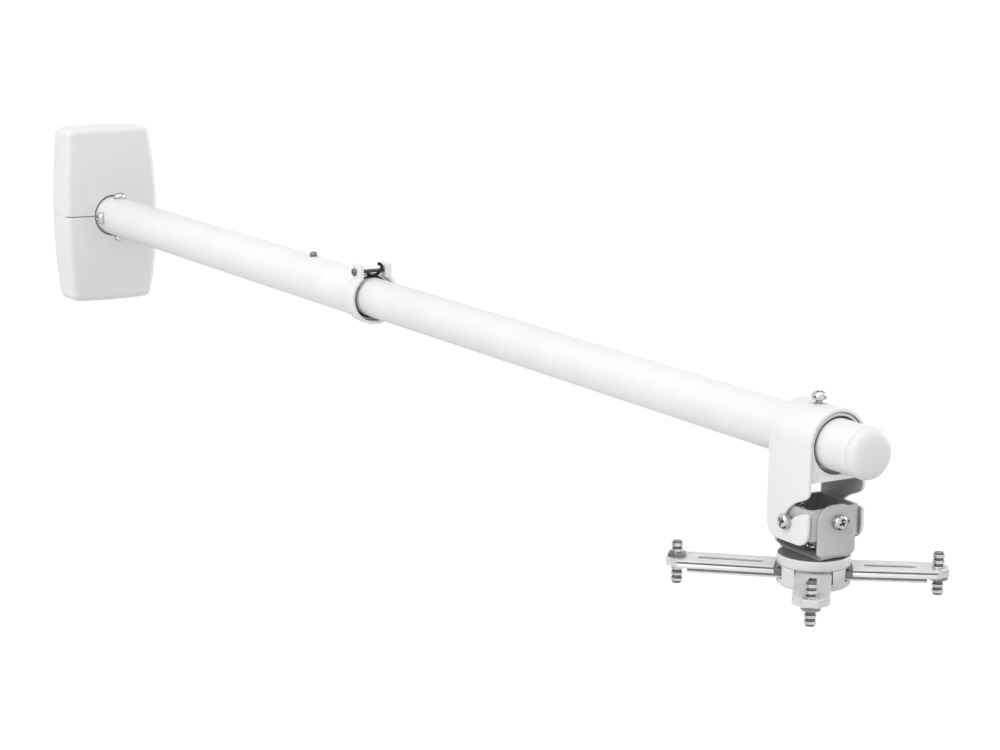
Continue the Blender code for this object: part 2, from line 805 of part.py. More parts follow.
side_frame = frame_at(at(0.0, HEAD_D, 0.0), OUTWARD, UP)
wide = 2.0 * (SADDLE_HALF_WIDTH + OVERCUT)
saddle_side = outlined("saddle_side", [side_loop], wide, side_frame)
combine(saddle_strap, saddle_side, "INTERSECT")

# Hook-in slots of both legs: open at the front edge, ending round under the tilt screw
slot_end = M6_SHANK + SEAT_GAP
J_SLOT = [
    (SADDLE_HALF_DEPTH + OVERCUT, -0.0310),
    (0.0251, -0.0362),
    (0.0238, -0.0390),
    (0.0210, -0.0412),
    (0.0155, -0.0436),
    (0.0095, -0.0459),
    (0.0042, -0.0494),
    (0.0002, -0.0530),
    (-0.0024, -0.0572),
]
J_SLOT += arc(0.0, TILT_Z, slot_end, 180.0, 360.0, 8)
J_SLOT += [
    (0.0052, -0.0600),
    (0.0100, -0.0565),
    (0.0165, -0.0534),
    (0.0225, -0.0517),
    (0.0245, -0.0525),
    (SADDLE_HALF_DEPTH + OVERCUT, -0.0560),
]
saddle_slot = outlined("saddle_slot", [J_SLOT], wide, side_frame)
combine(saddle_strap, saddle_slot)
saddle_screw_hole = rod(
    "saddle_screw_hole",
    M6_SHANK + SEAT_GAP,
    at(0.0, HEAD_D, INNER_RADIUS + SEAT_GAP),
    at(0.0, HEAD_D, SADDLE_HALF_WIDTH + OVERCUT),
)
combine(saddle_strap, saddle_screw_hole)

plate_radius = strap_inner - SEAT_GAP
saddle_loop = [(plate_radius, SADDLE_PLATE_Z)]
saddle_loop += arc(0.0, 0.0, plate_radius, 0.0, 180.0, 20)
saddle_loop += [(-plate_radius, SADDLE_PLATE_Z)]
hole_drop = SADDLE_HOLE - INNER_RADIUS - SEAT_GAP
saddle_loops = [saddle_loop, circle(0.0, -hole_drop, SADDLE_HOLE, 40)]
plate_reach = SADDLE_HALF_DEPTH - SADDLE_PLATE_INSET - SADDLE_PLATE / 2.0
for plate_name, step in (("saddle_front_plate", plate_reach), ("saddle_rear_plate", -plate_reach)):
    plate_frame = frame_at(at(0.0, HEAD_D + step, 0.0), SIDE, UP)
    outlined(plate_name, saddle_loops, SADDLE_PLATE, plate_frame, PAINTED)

saddle_screw_mesh = screw_mesh(
    "saddle_screw",
    M6_HEAD,
    M6_HEAD_HEIGHT + 0.0015,
    M6_SHANK,
    SADDLE_SCREW_HEAD_Z - INNER_RADIUS - SEAT_GAP,
)
add("saddle_screw", saddle_screw_mesh, facing(at(0.0, HEAD_D, SADDLE_SCREW_HEAD_Z), UP), PLATED)

# Tilt block: a length of square tube between the legs

block_half = strap_inner - SEAT_GAP
block_inner = block_half - SHEET
tilt_block = outlined(
    "tilt_block",
    [
        rounded_rectangle(block_half, block_half, BLOCK_CORNER),
        rounded_rectangle(block_inner, block_inner, BLOCK_CORNER - SHEET / 2.0),
    ],
    2.0 * BLOCK_HALF_HEIGHT,
    Matrix.Translation(at(0.0, HEAD_D, TILT_Z)),
    PAINTED,
)
block_reach = block_half + OVERCUT
tilt_hole = rod(
    "tilt_hole",
    M6_SHANK + SEAT_GAP,
    at(-block_reach, HEAD_D, TILT_Z),
    at(block_reach, HEAD_D, TILT_Z),
)
roll_reach = HEAD_D + block_half + SHEET + OVERCUT
roll_hole = rod(
    "roll_hole",
    M6_SHANK + SEAT_GAP,
    at(0.0, 2.0 * HEAD_D - roll_reach, ROLL_Z),
    at(0.0, roll_reach, ROLL_Z),
)
combine(tilt_block, tilt_hole)
combine(tilt_block, roll_hole)

# Tilt and roll screws share one size; each clamps a washer, a sheet, the block's wall and a nut

sheet_face = SADDLE_HALF_WIDTH
washer_seat = sheet_face + SEAT_GAP
head_seat = washer_seat + M6_WASHER_HEIGHT + SEAT_GAP
m6_mesh = screw_mesh("m6_screw", M6_HEAD, M6_HEAD_HEIGHT, M6_SHANK, head_seat - M6_TIP)
nut_seat = block_inner - SEAT_GAP
fixings = (
    ("tilt", "left", -SIDE, TILT_Z),
    ("tilt", "right", SIDE, TILT_Z),
    ("roll", "front", OUTWARD, ROLL_Z),
    ("roll", "rear", -OUTWARD, ROLL_Z),
)
for joint_name, side_name, outward, axis_z in fixings:
    centre = at(0.0, HEAD_D, axis_z)
    tail = joint_name + "_{}_" + side_name
    add(tail.format("screw"), m6_mesh.copy(), facing(centre + head_seat * outward, outward), PLATED)
    turned(
        tail.format("washer"),
        ring_profile(M6_SHANK + SEAT_GAP, M6_HEAD, 0.0, M6_WASHER_HEIGHT),
        facing(centre + washer_seat * outward, outward),
        PLATED,
        ring=True,
    )
    nut(
        tail.format("nut"),
        M6_NUT_FLATS,
        M6_NUT_HEIGHT,
        M6_SHANK + SEAT_GAP,
        facing(centre + nut_seat * outward, -outward),
    )

# Roll bracket: sheet bent to a U round the block's front, bottom and rear

bend_outer = BRACKET_BEND + SHEET
ear_inner = sheet_face - SHEET
base_z = BRACKET_BASE_Z - ROLL_Z
top_z = BRACKET_TOP_Z - ROLL_Z
u_loop = [(sheet_face, top_z + OVERCUT), (ear_inner, top_z + OVERCUT)]
u_loop += arc(ear_inner - BRACKET_BEND, base_z + bend_outer, BRACKET_BEND, 360.0, 270.0, BEND_STEPS)
u_loop += arc(BRACKET_BEND - ear_inner, base_z + bend_outer, BRACKET_BEND, 270.0, 180.0, BEND_STEPS)
u_loop += [(-ear_inner, top_z + OVERCUT), (-sheet_face, top_z + OVERCUT)]
u_loop += arc(bend_outer - sheet_face, base_z + bend_outer, bend_outer, 180.0, 270.0, BEND_STEPS)
u_loop += arc(sheet_face - bend_outer, base_z + bend_outer, bend_outer, 270.0, 360.0, BEND_STEPS)
roll_bracket = outlined(
    "roll_bracket",
    [u_loop],
    2.0 * (BRACKET_HALF_WIDTH + OVERCUT),
    frame_at(at(0.0, HEAD_D, ROLL_Z), OUTWARD, UP),
    PAINTED,
)
taper_z = BRACKET_TAPER_Z - ROLL_Z
taper_end_z = taper_z - (BRACKET_HALF_WIDTH - BRACKET_BASE_HALF)
corner_x = BRACKET_HALF_WIDTH - BRACKET_TOP_CORNER
corner_z = top_z - BRACKET_TOP_CORNER
face_loop = [
    (-BRACKET_BASE_HALF, base_z - OVERCUT),
    (BRACKET_BASE_HALF, base_z - OVERCUT),
    (BRACKET_BASE_HALF, taper_end_z),
    (BRACKET_HALF_WIDTH, taper_z),
]
face_loop += arc(corner_x, corner_z, BRACKET_TOP_CORNER, 0.0, 90.0, 6)
face_loop += arc(-corner_x, corner_z, BRACKET_TOP_CORNER, 90.0, 180.0, 6)
face_loop += [(-BRACKET_HALF_WIDTH, taper_z), (-BRACKET_BASE_HALF, taper_end_z)]
bracket_face = outlined(
    "bracket_face",
    [face_loop],
    2.0 * (sheet_face + OVERCUT),
    frame_at(at(0.0, HEAD_D, ROLL_Z), SIDE, UP),
)
combine(roll_bracket, bracket_face, "INTERSECT")
combine(roll_bracket, roll_hole)
mark_hole = rod(
    "mark_hole",
    MARK_HOLE,
    at(MARK_HOLE_X, HEAD_D + ear_inner - OVERCUT, MARK_HOLE_Z),
    at(MARK_HOLE_X, HEAD_D + sheet_face + OVERCUT, MARK_HOLE_Z),
    10,
)
combine(roll_bracket, mark_hole)
hub_hole = HUB_BOLT_SHANK + SEAT_GAP
base_hole = rod(
    "base_hole",
    hub_hole,
    at(0.0, HEAD_D, BRACKET_BASE_Z - OVERCUT),
    at(0.0, HEAD_D, BRACKET_BASE_Z + SHEET + OVERCUT),
)
combine(roll_bracket, base_hole)

# Hub: cap disc with a spigot, and a body with four windows

hub_frame = Matrix.Translation(at(0.0, HEAD_D, 0.0))
wall_inner = HUB_RADIUS - HUB_WALL
spigot = wall_inner - SEAT_GAP
disc_profile = [
    (HUB_RADIUS - HUB_EDGE, DISC_TOP_Z),
    (HUB_RADIUS - 0.3 * HUB_EDGE, DISC_TOP_Z - 0.3 * HUB_EDGE),
    (HUB_RADIUS, DISC_TOP_Z - HUB_EDGE),
    (HUB_RADIUS, DISC_BOTTOM_Z),
    (spigot, DISC_BOTTOM_Z),
    (spigot, SPIGOT_Z),
    (hub_hole, SPIGOT_Z),
    (hub_hole, DISC_TOP_Z),
]
hub_cap_disc = turned("hub_cap_disc", disc_profile, hub_frame, PAINTED, DISC_STEPS, ring=True)
body_profile = [
    (HUB_RADIUS, DISC_BOTTOM_Z - SEAT_GAP),
    (HUB_RADIUS, HUB_BOTTOM_Z + HUB_EDGE),
    (HUB_RADIUS - HUB_EDGE, HUB_BOTTOM_Z),
    (hub_hole, HUB_BOTTOM_Z),
    (hub_hole, DISC_BOTTOM_Z - SEAT_GAP),
]
hub_body = turned("hub_body", body_profile, hub_frame, PAINTED, DISC_STEPS, ring=True)
window_deg = math.degrees(math.asin(WINDOW_HALF / wall_inner))
pocket_loop = []
for window in range(4):
    middle_deg = HUB_PHASE_DEG + 90.0 * window
    turn = Matrix.Rotation(math.radians(middle_deg), 2)
    for corner in ((HUB_RADIUS + OVERCUT, -WINDOW_HALF), (HUB_RADIUS + OVERCUT, WINDOW_HALF)):
        pocket_loop.append(tuple(turn @ Vector(corner)))
    next_deg = middle_deg + 90.0
    pocket_loop += arc(0.0, 0.0, wall_inner, middle_deg + window_deg, next_deg - window_deg, 4)
pocket_top = DISC_BOTTOM_Z + OVERCUT
hub_pocket = outlined(
    "hub_pocket",
    [pocket_loop],
    pocket_top - HUB_FLOOR_Z,
    Matrix.Translation(at(0.0, HEAD_D, (pocket_top + HUB_FLOOR_Z) / 2.0)),
)
combine(hub_body, hub_pocket)

button_mesh = screw_mesh(
    "hub_bolt",
    HUB_BOLT_HEAD,
    HUB_BOLT_HEAD_HEIGHT,
    HUB_BOLT_SHANK,
    BRACKET_BASE_Z + SHEET + SEAT_GAP - HUB_BOLT_TIP_Z,
    hexagonal=True,
)
bolt_head_seat = at(0.0, HEAD_D, BRACKET_BASE_Z + SHEET + SEAT_GAP)
add("hub_bolt", button_mesh, facing(bolt_head_seat, UP), PLATED)
nut(
    "hub_nut",
    HUB_NUT_FLATS,
    HUB_NUT_HEIGHT,
    hub_hole,
    facing(at(0.0, HEAD_D, HUB_BOTTOM_Z - SEAT_GAP), -UP),
)

# Arms: a rail turning in the hub, a channel sliding on it, a ribbed post with its nut

pivot_seat_z = HUB_BOTTOM_Z - SEAT_GAP
pivot_mesh = screw_mesh(
    "arm_pivot_screw",
    PIVOT_HEAD,
    PIVOT_HEAD_HEIGHT,
    PIVOT_SHANK,
    PIVOT_TIP_Z - pivot_seat_z,
)
rail_height = RAIL_TOP_Z - RAIL_BOTTOM_Z
channel_height = CHANNEL_TOP_Z - CHANNEL_BOTTOM_Z


def rail(name, arm_frame, end_u):
    """Inner rail: a small inverted channel, round where it turns on its pivot screw."""
    flange = RAIL_HALF_WIDTH - RAIL_WALL
    middle = -rail_height / 2.0
    section = [
        (-RAIL_HALF_WIDTH, middle),
        (-flange, middle),
        (-flange, middle + rail_height - RAIL_WALL),
        (flange, middle + rail_height - RAIL_WALL),
        (flange, middle),
        (RAIL_HALF_WIDTH, middle),
        (RAIL_HALF_WIDTH, middle + rail_height),
        (-RAIL_HALF_WIDTH, middle + rail_height),
    ]
    length = end_u + RAIL_HALF_WIDTH + 2.0 * OVERCUT
    start_u = -RAIL_HALF_WIDTH - OVERCUT
    centre_z = (RAIL_TOP_Z + RAIL_BOTTOM_Z) / 2.0
    lie = Matrix.Translation((start_u + length / 2.0, 0.0, centre_z))
    section_frame = arm_frame @ lie @ frame_at((0.0, 0.0, 0.0), (0, 1, 0), (0, 0, 1))
    obj = outlined(name, [section], length, section_frame, PAINTED)
    plan = arc(0.0, 0.0, RAIL_HALF_WIDTH, 90.0, 270.0, 12)
    plan += [(end_u, -RAIL_HALF_WIDTH - OVERCUT), (end_u, RAIL_HALF_WIDTH + OVERCUT)]
    plan[0] = (0.0, RAIL_HALF_WIDTH + OVERCUT)
    plan.insert(1, (0.0, RAIL_HALF_WIDTH))
    plan.insert(len(plan) - 2, (0.0, -RAIL_HALF_WIDTH - OVERCUT))
    cut_frame = arm_frame @ Matrix.Translation((0.0, 0.0, centre_z))
    blank = outlined(name + "_plan", [plan], rail_height + 2.0 * OVERCUT, cut_frame)
    combine(obj, blank, "INTERSECT")
    return obj


def channel(name, arm_frame, post_u):
    """Outer channel: tapered nose block with the post's hole, groove under it for the rail."""
    half = ARM_HALF_WIDTH
    start = CHANNEL_START_U - PIVOT_U
    plan = [
        (start, -half),
        (post_u - NOSE_SHOULDER, -half),
        (post_u + NOSE_LENGTH - NOSE_ROUND, -NOSE_HALF - NOSE_ROUND),
        (post_u + NOSE_LENGTH, -NOSE_HALF),
    ]
    plan += [(u, -v) for u, v in reversed(plan)]
    slot = stadium(
        SLOT_START_U - PIVOT_U + SLOT_HALF,
        post_u - SLOT_TO_POST - SLOT_HALF,
        SLOT_HALF,
    )
    hole = circle(post_u, 0.0, POST_RIB + SEAT_GAP, HOLE_STEPS)
    middle_z = (CHANNEL_TOP_Z + CHANNEL_BOTTOM_Z) / 2.0
    body_frame = arm_frame @ Matrix.Translation((0.0, 0.0, middle_z))
    obj = outlined(name, [plan, slot, hole], channel_height, body_frame, PAINTED)
    groove_end = post_u - NOSE_BLOCK
    groove_bottom = CHANNEL_BOTTOM_Z - OVERCUT
    groove_frame = arm_frame @ Matrix.Translation((0.0, 0.0, (GROOVE_TOP_Z + groove_bottom) / 2.0))
    groove_loop = [
        (start - OVERCUT, -GROOVE_HALF),
        (groove_end, -GROOVE_HALF),
        (groove_end, GROOVE_HALF),
        (start - OVERCUT, GROOVE_HALF),
    ]
    groove = outlined(name + "_groove", [groove_loop], GROOVE_TOP_Z - groove_bottom, groove_frame)
    combine(obj, groove)
    return obj


post_profile = [(0.0, POST_TOP_Z), (POST_GROOVE, POST_TOP_Z)]
post_length = POST_TOP_Z - POST_BOTTOM_Z
rib_count = int(post_length / POST_PITCH)
margin = (post_length - (rib_count - 1) * POST_PITCH - POST_CREST) / 2.0
for rib in range(rib_count):
    crest_z = POST_TOP_Z - margin - rib * POST_PITCH
    if rib:
        post_profile.append((POST_GROOVE, crest_z + (POST_PITCH - POST_CREST) / 2.0))
    post_profile.append((POST_RIB, crest_z))
    post_profile.append((POST_RIB, crest_z - POST_CREST))
post_profile += [(POST_GROOVE, POST_BOTTOM_Z), (0.0, POST_BOTTOM_Z)]

for arm_name, window, turn_deg, post_radius, nut_side in ARMS:
    window_rad = math.radians(HUB_PHASE_DEG + 90.0 * window)
    arm_rad = window_rad + math.radians(turn_deg)
    pivot = at(PIVOT_U * math.cos(window_rad), HEAD_D - PIVOT_U * math.sin(window_rad), 0.0)
    arm_frame = Matrix.Translation(pivot) @ Matrix.Rotation(arm_rad, 4, "Z")
    post_u = post_radius - PIVOT_U
    pivot_hole = rod(
        arm_name + "_pivot_hole",
        PIVOT_SHANK + SEAT_GAP,
        pivot + (HUB_BOTTOM_Z - OVERCUT) * UP,
        pivot + PIVOT_HOLE_TOP_Z * UP,
        12,
    )
    combine(hub_cap_disc, pivot_hole)
    combine(hub_body, pivot_hole)
    pivot_seat = pivot + pivot_seat_z * UP
    add("arm_pivot_screw_" + arm_name, pivot_mesh.copy(), facing(pivot_seat, -UP), PLATED)
    arm_rail = rail("arm_rail_" + arm_name, arm_frame, post_u - NOSE_BLOCK - SEAT_GAP)
    combine(arm_rail, pivot_hole)
    channel("arm_channel_" + arm_name, arm_frame, post_u)
    turned(
        "post_" + arm_name,
        post_profile,
        arm_frame @ Matrix.Translation((post_u, 0.0, 0.0)),
        PLATED,
        POST_STEPS,
    )
    if nut_side > 0:
        nut_z = CHANNEL_TOP_Z + SEAT_GAP + POST_NUT_HEIGHT
    else:
        nut_z = CHANNEL_BOTTOM_Z - SEAT_GAP
    nut_frame = arm_frame @ Matrix.Translation((post_u, 0.0, nut_z))
    nut(
        "post_nut_" + arm_name,
        POST_NUT_FLATS,
        POST_NUT_HEIGHT,
        POST_RIB + SEAT_GAP,
        nut_frame @ Matrix.Rotation(math.pi, 4, "X"),
    )
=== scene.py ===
"""Short-throw projector wall mount, dressed for a studio picture.

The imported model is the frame. A finer piece stands for each visible node, has its place and
size, and rides on its body. Metres, +Z up; the wall is y = 0 and the tube runs towards -Y.
"""

from __future__ import annotations

import logging
import math
from collections.abc import Callable, Iterator
from contextlib import contextmanager
from dataclasses import dataclass, replace
from enum import Enum
from functools import cached_property

import bpy
from mathutils import Matrix, Vector

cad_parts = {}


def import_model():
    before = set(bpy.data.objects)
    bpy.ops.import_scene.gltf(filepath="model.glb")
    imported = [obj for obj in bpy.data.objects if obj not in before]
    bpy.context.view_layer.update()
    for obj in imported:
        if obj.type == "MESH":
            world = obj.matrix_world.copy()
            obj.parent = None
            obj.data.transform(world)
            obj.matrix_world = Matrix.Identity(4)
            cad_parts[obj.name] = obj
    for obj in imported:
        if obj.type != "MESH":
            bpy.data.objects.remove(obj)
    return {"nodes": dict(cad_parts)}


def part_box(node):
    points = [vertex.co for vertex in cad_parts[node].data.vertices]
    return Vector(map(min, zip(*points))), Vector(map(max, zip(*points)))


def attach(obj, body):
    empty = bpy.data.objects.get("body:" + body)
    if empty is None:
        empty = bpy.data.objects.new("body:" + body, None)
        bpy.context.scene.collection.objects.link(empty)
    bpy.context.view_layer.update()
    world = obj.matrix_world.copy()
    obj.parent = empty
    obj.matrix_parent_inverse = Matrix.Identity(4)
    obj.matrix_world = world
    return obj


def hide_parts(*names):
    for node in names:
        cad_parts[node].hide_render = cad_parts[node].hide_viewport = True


LOG = logging.getLogger("mount")

Point2 = tuple[float, float]
Point3 = tuple[float, float, float]
Colour = tuple[float, float, float]

Tree = bpy.types.NodeTree
Node = bpy.types.Node
Socket = bpy.types.NodeSocket
Piece = bpy.types.Object

SIDE = Vector((1.0, 0.0, 0.0))
OUTWARD = Vector((0.0, -1.0, 0.0))
UP = Vector((0.0, 0.0, 1.0))
FRONT_AND_REAR = (("front", OUTWARD), ("rear", -OUTWARD))
WHITE = (1.0, 1.0, 1.0, 1.0)
WELD = 0.000002
BEND_MARGIN = 0.0004
LONGEST_LEG = 0.45
SIDEWAYS = 0.3
FLAT_LIMIT = math.radians(1.0)
SMOOTH_LIMIT = math.radians(38.0)
ROUND_STEPS = 96
MIDDLE_STEPS = 48
SMALL_STEPS = 40

# Forms of turned parts: domes as shares of radius and height, a rib as shares of height and
# bulge, and a thread's turn as shares of its pitch, each with whether it lies on the crest
PAN_DOME = ((0.0, 1.0), (0.25, 0.99), (0.5, 0.95), (0.7, 0.87), (0.86, 0.73), (0.96, 0.54), (1.0, 0.36))
CAP_DOME = (
    (0.0, 1.0), (0.25, 0.99), (0.5, 0.955), (0.66, 0.905), (0.78, 0.83), (0.88, 0.71),
    (0.945, 0.56), (0.985, 0.38), (1.0, 0.2),
)
RIB_ROUND = ((-0.06, 0.0), (0.0, 0.6), (0.12, 0.95), (0.5, 1.0), (0.88, 0.95), (1.0, 0.6), (1.06, 0.0))
THREAD_FORM = ((0.3, False), (0.5, False), (0.8, True), (0.95, True))


class Drive(Enum):
    """Recess of a screw's head."""

    CROSS = "cross"
    HEX = "hex"


# Shader nodes


def feed(tree: Tree, node: Node, values: dict) -> None:
    """Fills a node's inputs with values, or links them to the sockets given."""
    for name, value in values.items():
        if isinstance(value, Socket):
            tree.links.new(value, node.inputs[name])
        else:
            node.inputs[name].default_value = value


def add_node(tree: Tree, kind: str, values: dict | None = None, **settings: object) -> Node:
    """Adds a shader node, sets it and fills its inputs.

    Args:
        tree: Tree that gets the node.
        kind: Node type without its prefix.
        values: Input name or number to a value, or to the socket that feeds it.
        settings: Node property to value.

    Returns:
        The node.
    """
    node = tree.nodes.new("ShaderNode" + kind)
    for name, value in settings.items():
        setattr(node, name, value)
    feed(tree, node, values or {})
    return node


def compute(tree: Tree, operation: str, *terms: object) -> Socket:
    """Adds a math node for numbers and sockets, and returns its result."""
    return add_node(tree, "Math", dict(enumerate(terms)), operation=operation).outputs[0]


def new_group(name: str, inputs: tuple[str, ...], outputs: tuple[str, ...]) -> tuple[Tree, Node, Node]:
    """Makes an empty shader group.

    Args:
        name: Name of the group.
        inputs: Its inputs; Vector is a vector, the others are numbers.
        outputs: Its outputs, all numbers.

    Returns:
        The tree, its input node and its output node.
    """
    tree = bpy.data.node_groups.new(name, "ShaderNodeTree")
    for socket in inputs:
        kind = "NodeSocketVector" if socket == "Vector" else "NodeSocketFloat"
        tree.interface.new_socket(socket, in_out="INPUT", socket_type=kind)
    for socket in outputs:
        tree.interface.new_socket(socket, in_out="OUTPUT", socket_type="NodeSocketFloat")
    return tree, tree.nodes.new("NodeGroupInput"), tree.nodes.new("NodeGroupOutput")


@dataclass
class ShaderGroups:
    """Effects that several finishes share, each built once."""

    cloud_detail: float = 4.0
    cloud_roughness: float = 0.55
    cloud_range: Point2 = (0.3, 0.7)
    wave_detail: float = 2.0
    pit_ratio: float = 3.7
    wear_and_shade_scale: float = 260.0
    wear_and_shade_detail: float = 5.0
    edge_range: Point2 = (0.53, 0.62)
    # Pointiness range over which corners and creases get painted shade
    crease_shade_range: Point2 = (0.47, 0.40)

    @cached_property
    def mottle(self) -> Tree:
        """Slow cloudy change over a surface: Vector and Scale in, Factor out."""
        tree, start, end = new_group("mottle", ("Vector", "Scale"), ("Factor",))
        values = {"Vector": start.outputs["Vector"], "Scale": start.outputs["Scale"]}
        values.update({"Detail": self.cloud_detail, "Roughness": self.cloud_roughness})
        noise = add_node(tree, "TexNoise", values).outputs["Fac"]
        low, high = self.cloud_range
        cloud = add_node(tree, "MapRange", {"Value": noise, "From Min": low, "From Max": high})
        feed(tree, end, {"Factor": cloud.outputs["Result"]})
        return tree

    @cached_property
    def grain(self) -> Tree:
        """Soft waves of a coat with small pits: Vector, Scale and Pits in, Height out."""
        tree, start, end = new_group("grain", ("Vector", "Scale", "Pits"), ("Height",))
        place = start.outputs["Vector"]
        scale = start.outputs["Scale"]
        values = {"Vector": place, "Scale": scale, "Detail": self.wave_detail}
        waves = add_node(tree, "TexNoise", values).outputs["Fac"]
        values = {"Vector": place, "Scale": compute(tree, "MULTIPLY", scale, self.pit_ratio)}
        pits = add_node(tree, "TexVoronoi", values, feature="SMOOTH_F1").outputs["Distance"]
        height = compute(tree, "MULTIPLY_ADD", pits, start.outputs["Pits"], waves)
        feed(tree, end, {"Height": height})
        return tree

    @cached_property
    def edge_wear_and_crease_shade(self) -> Tree:
        """Rubbed edges, and painted shade in corners and creases: Vector and Amount in, the edge mask and
        the painted shade mask out.
        """
        tree, start, end = new_group("edge_wear_and_crease_shade", ("Vector", "Amount"), ("Edge", "CreaseShade"))
        pointed = add_node(tree, "NewGeometry").outputs["Pointiness"]
        values = {"Vector": start.outputs["Vector"], "Scale": self.wear_and_shade_scale}
        values["Detail"] = self.wear_and_shade_detail
        noise = add_node(tree, "TexNoise", values).outputs["Fac"]
        # The first mask is rubbed edges; the second is painted shade in corners and creases
        for output, (low, high) in (("Edge", self.edge_range), ("CreaseShade", self.crease_shade_range)):
            values = {"Value": pointed, "From Min": low, "From Max": high}
            mask = add_node(tree, "MapRange", values).outputs["Result"]
            broken = compute(tree, "MULTIPLY", mask, noise)
            scaled = compute(tree, "MULTIPLY", broken, start.outputs["Amount"])
            feed(tree, end, {output: scaled})
        return tree


GROUPS = ShaderGroups()


# Finishes


def grey(value: float, blue: float = 0.0) -> Colour:
    """Gives a grey, with a little more blue if asked."""
    return (value, value, value + blue)


@dataclass(frozen=True)
class Finish:
    """One surface finish: colours, painted shade, gloss and fine relief."""

    name: str
    slot: str
    colour: Colour
    shade: Colour
    edge: Colour
    # hollow: colour of the painted shade in corners and creases and on faces seen edge-on
    hollow: Colour
    roughness: float
    spread: float
    metallic: float = 0.0
    mottle_scale: float = 18.0
    grain_scale: float = 900.0
    grain_height: float = 0.00001
    pits: float = 0.0
    # wear: strength of the rubbed edges and of the painted shade in corners and creases
    wear_and_crease_shade: float = 0.5
    specular: float = 0.5
    # rim and its power set the painted darkening of faces seen edge-on
    rim: float = 0.0
    edge_on_darkening_power: float = 3.0

    def material(self) -> bpy.types.Material:
        """Builds the material, or finds it if it was built before."""
        if self.name in bpy.data.materials:
            return bpy.data.materials[self.name]
        made = bpy.data.materials.new(self.name)
        made.use_nodes = True
        made.diffuse_color = (*self.colour, 1.0)
        tree = made.node_tree
        where = add_node(tree, "TexCoord").outputs["Object"]
        mottle = self.effect(tree, GROUPS.mottle, where, Scale=self.mottle_scale)
        grain = self.effect(tree, GROUPS.grain, where, Scale=self.grain_scale, Pits=self.pits)
        wear_and_crease_shade = self.effect(tree, GROUPS.edge_wear_and_crease_shade, where, Amount=self.wear_and_crease_shade)
        base = self.mix(tree, mottle.outputs["Factor"], (*self.colour, 1.0), self.shade)
        lit = self.mix(tree, wear_and_crease_shade.outputs["Edge"], base, self.edge)
        # Painted shade: corners and creases turn towards the hollow colour
        worn_and_shaded = self.mix(tree, wear_and_crease_shade.outputs["CreaseShade"], lit, self.hollow)
        height = grain.outputs["Height"]
        values = {"Value": height, "To Min": self.roughness - self.spread}
        values["To Max"] = self.roughness + self.spread
        gloss = add_node(tree, "MapRange", values)
        bump = add_node(tree, "Bump", {"Distance": self.grain_height, "Height": height})
        # Painted darkening: faces seen edge-on turn towards the hollow colour
        final = self.mix(tree, self.painted_edge_on_darkening(tree), worn_and_shaded, self.hollow)
        values = {"Base Color": final, "Metallic": self.metallic}
        values.update({"Specular IOR Level": self.specular, "Normal": bump.outputs["Normal"]})
        values["Roughness"] = gloss.outputs["Result"]
        feed(tree, tree.nodes["Principled BSDF"], values)
        return made

    def painted_edge_on_darkening(self, tree: Tree) -> Socket:
        """Makes the mask of painted darkening for a surface seen edge-on: shade on coats, dark
        reflections on metals.
        """
        turned_away = add_node(tree, "LayerWeight", {"Blend": 0.5}).outputs["Facing"]
        power = compute(tree, "POWER", turned_away, self.edge_on_darkening_power)
        return compute(tree, "MULTIPLY", power, self.rim)

    @staticmethod
    def effect(tree: Tree, group: Tree, where: Socket, **values: float) -> Node:
        """Places a shared group at the object's coordinates and sets its values."""
        return add_node(tree, "Group", {"Vector": where, **values}, node_tree=group)

    @staticmethod
    def mix(tree: Tree, mask: Socket, first: tuple[float, ...] | Socket, second: Colour) -> Socket:
        """Mixes a colour or socket, where the mask is 0, with a colour, where it is 1."""
        values = {"Factor": mask, "A": first, "B": (*second, 1.0)}
        return add_node(tree, "Mix", values, data_type="RGBA").outputs["Result"]


# rim darkens this coat's faces seen edge-on with painted shade
POWDER_COAT = Finish(
    "white_powder_coat", "painted_steel", colour=grey(0.845), shade=grey(0.805), edge=grey(0.88),
    hollow=grey(0.42), roughness=0.42, spread=0.07, grain_scale=620.0, grain_height=0.00004, pits=0.12,
    rim=0.34, edge_on_darkening_power=6.0,
)
# Greyer copies of the white coat on the head and the hub: painted shade, as these parts are white but sit
# in shade
SHADE_GREYED_HEAD_COAT = replace(
    POWDER_COAT, name="head_powder_coat_greyed_for_shade", colour=grey(0.545), shade=grey(0.505), edge=grey(0.84),
    hollow=grey(0.22),
)
SHADE_GREYED_HUB_COAT = replace(
    POWDER_COAT, name="hub_powder_coat_greyed_for_shade", colour=grey(0.72), shade=grey(0.67), edge=grey(0.87),
    hollow=grey(0.26),
)
# Painted deep shade: the white coat darkened for faces deep inside the saddle and the hub
PAINTED_DEEP_SHADE_COAT = replace(
    POWDER_COAT, name="painted_deep_shade_powder_coat", colour=grey(0.15, 0.005), shade=grey(0.10, 0.005),
    edge=grey(0.30, 0.005), hollow=grey(0.02), roughness=0.5, spread=0.06, rim=0.0,
)
# Painted dim shade: the white coat darkened for faces inside the block and the bracket
PAINTED_DIM_SHADE_COAT = replace(
    PAINTED_DEEP_SHADE_COAT, name="painted_dim_shade_powder_coat", colour=grey(0.32, 0.005), shade=grey(0.25, 0.005), edge=grey(0.45),
)
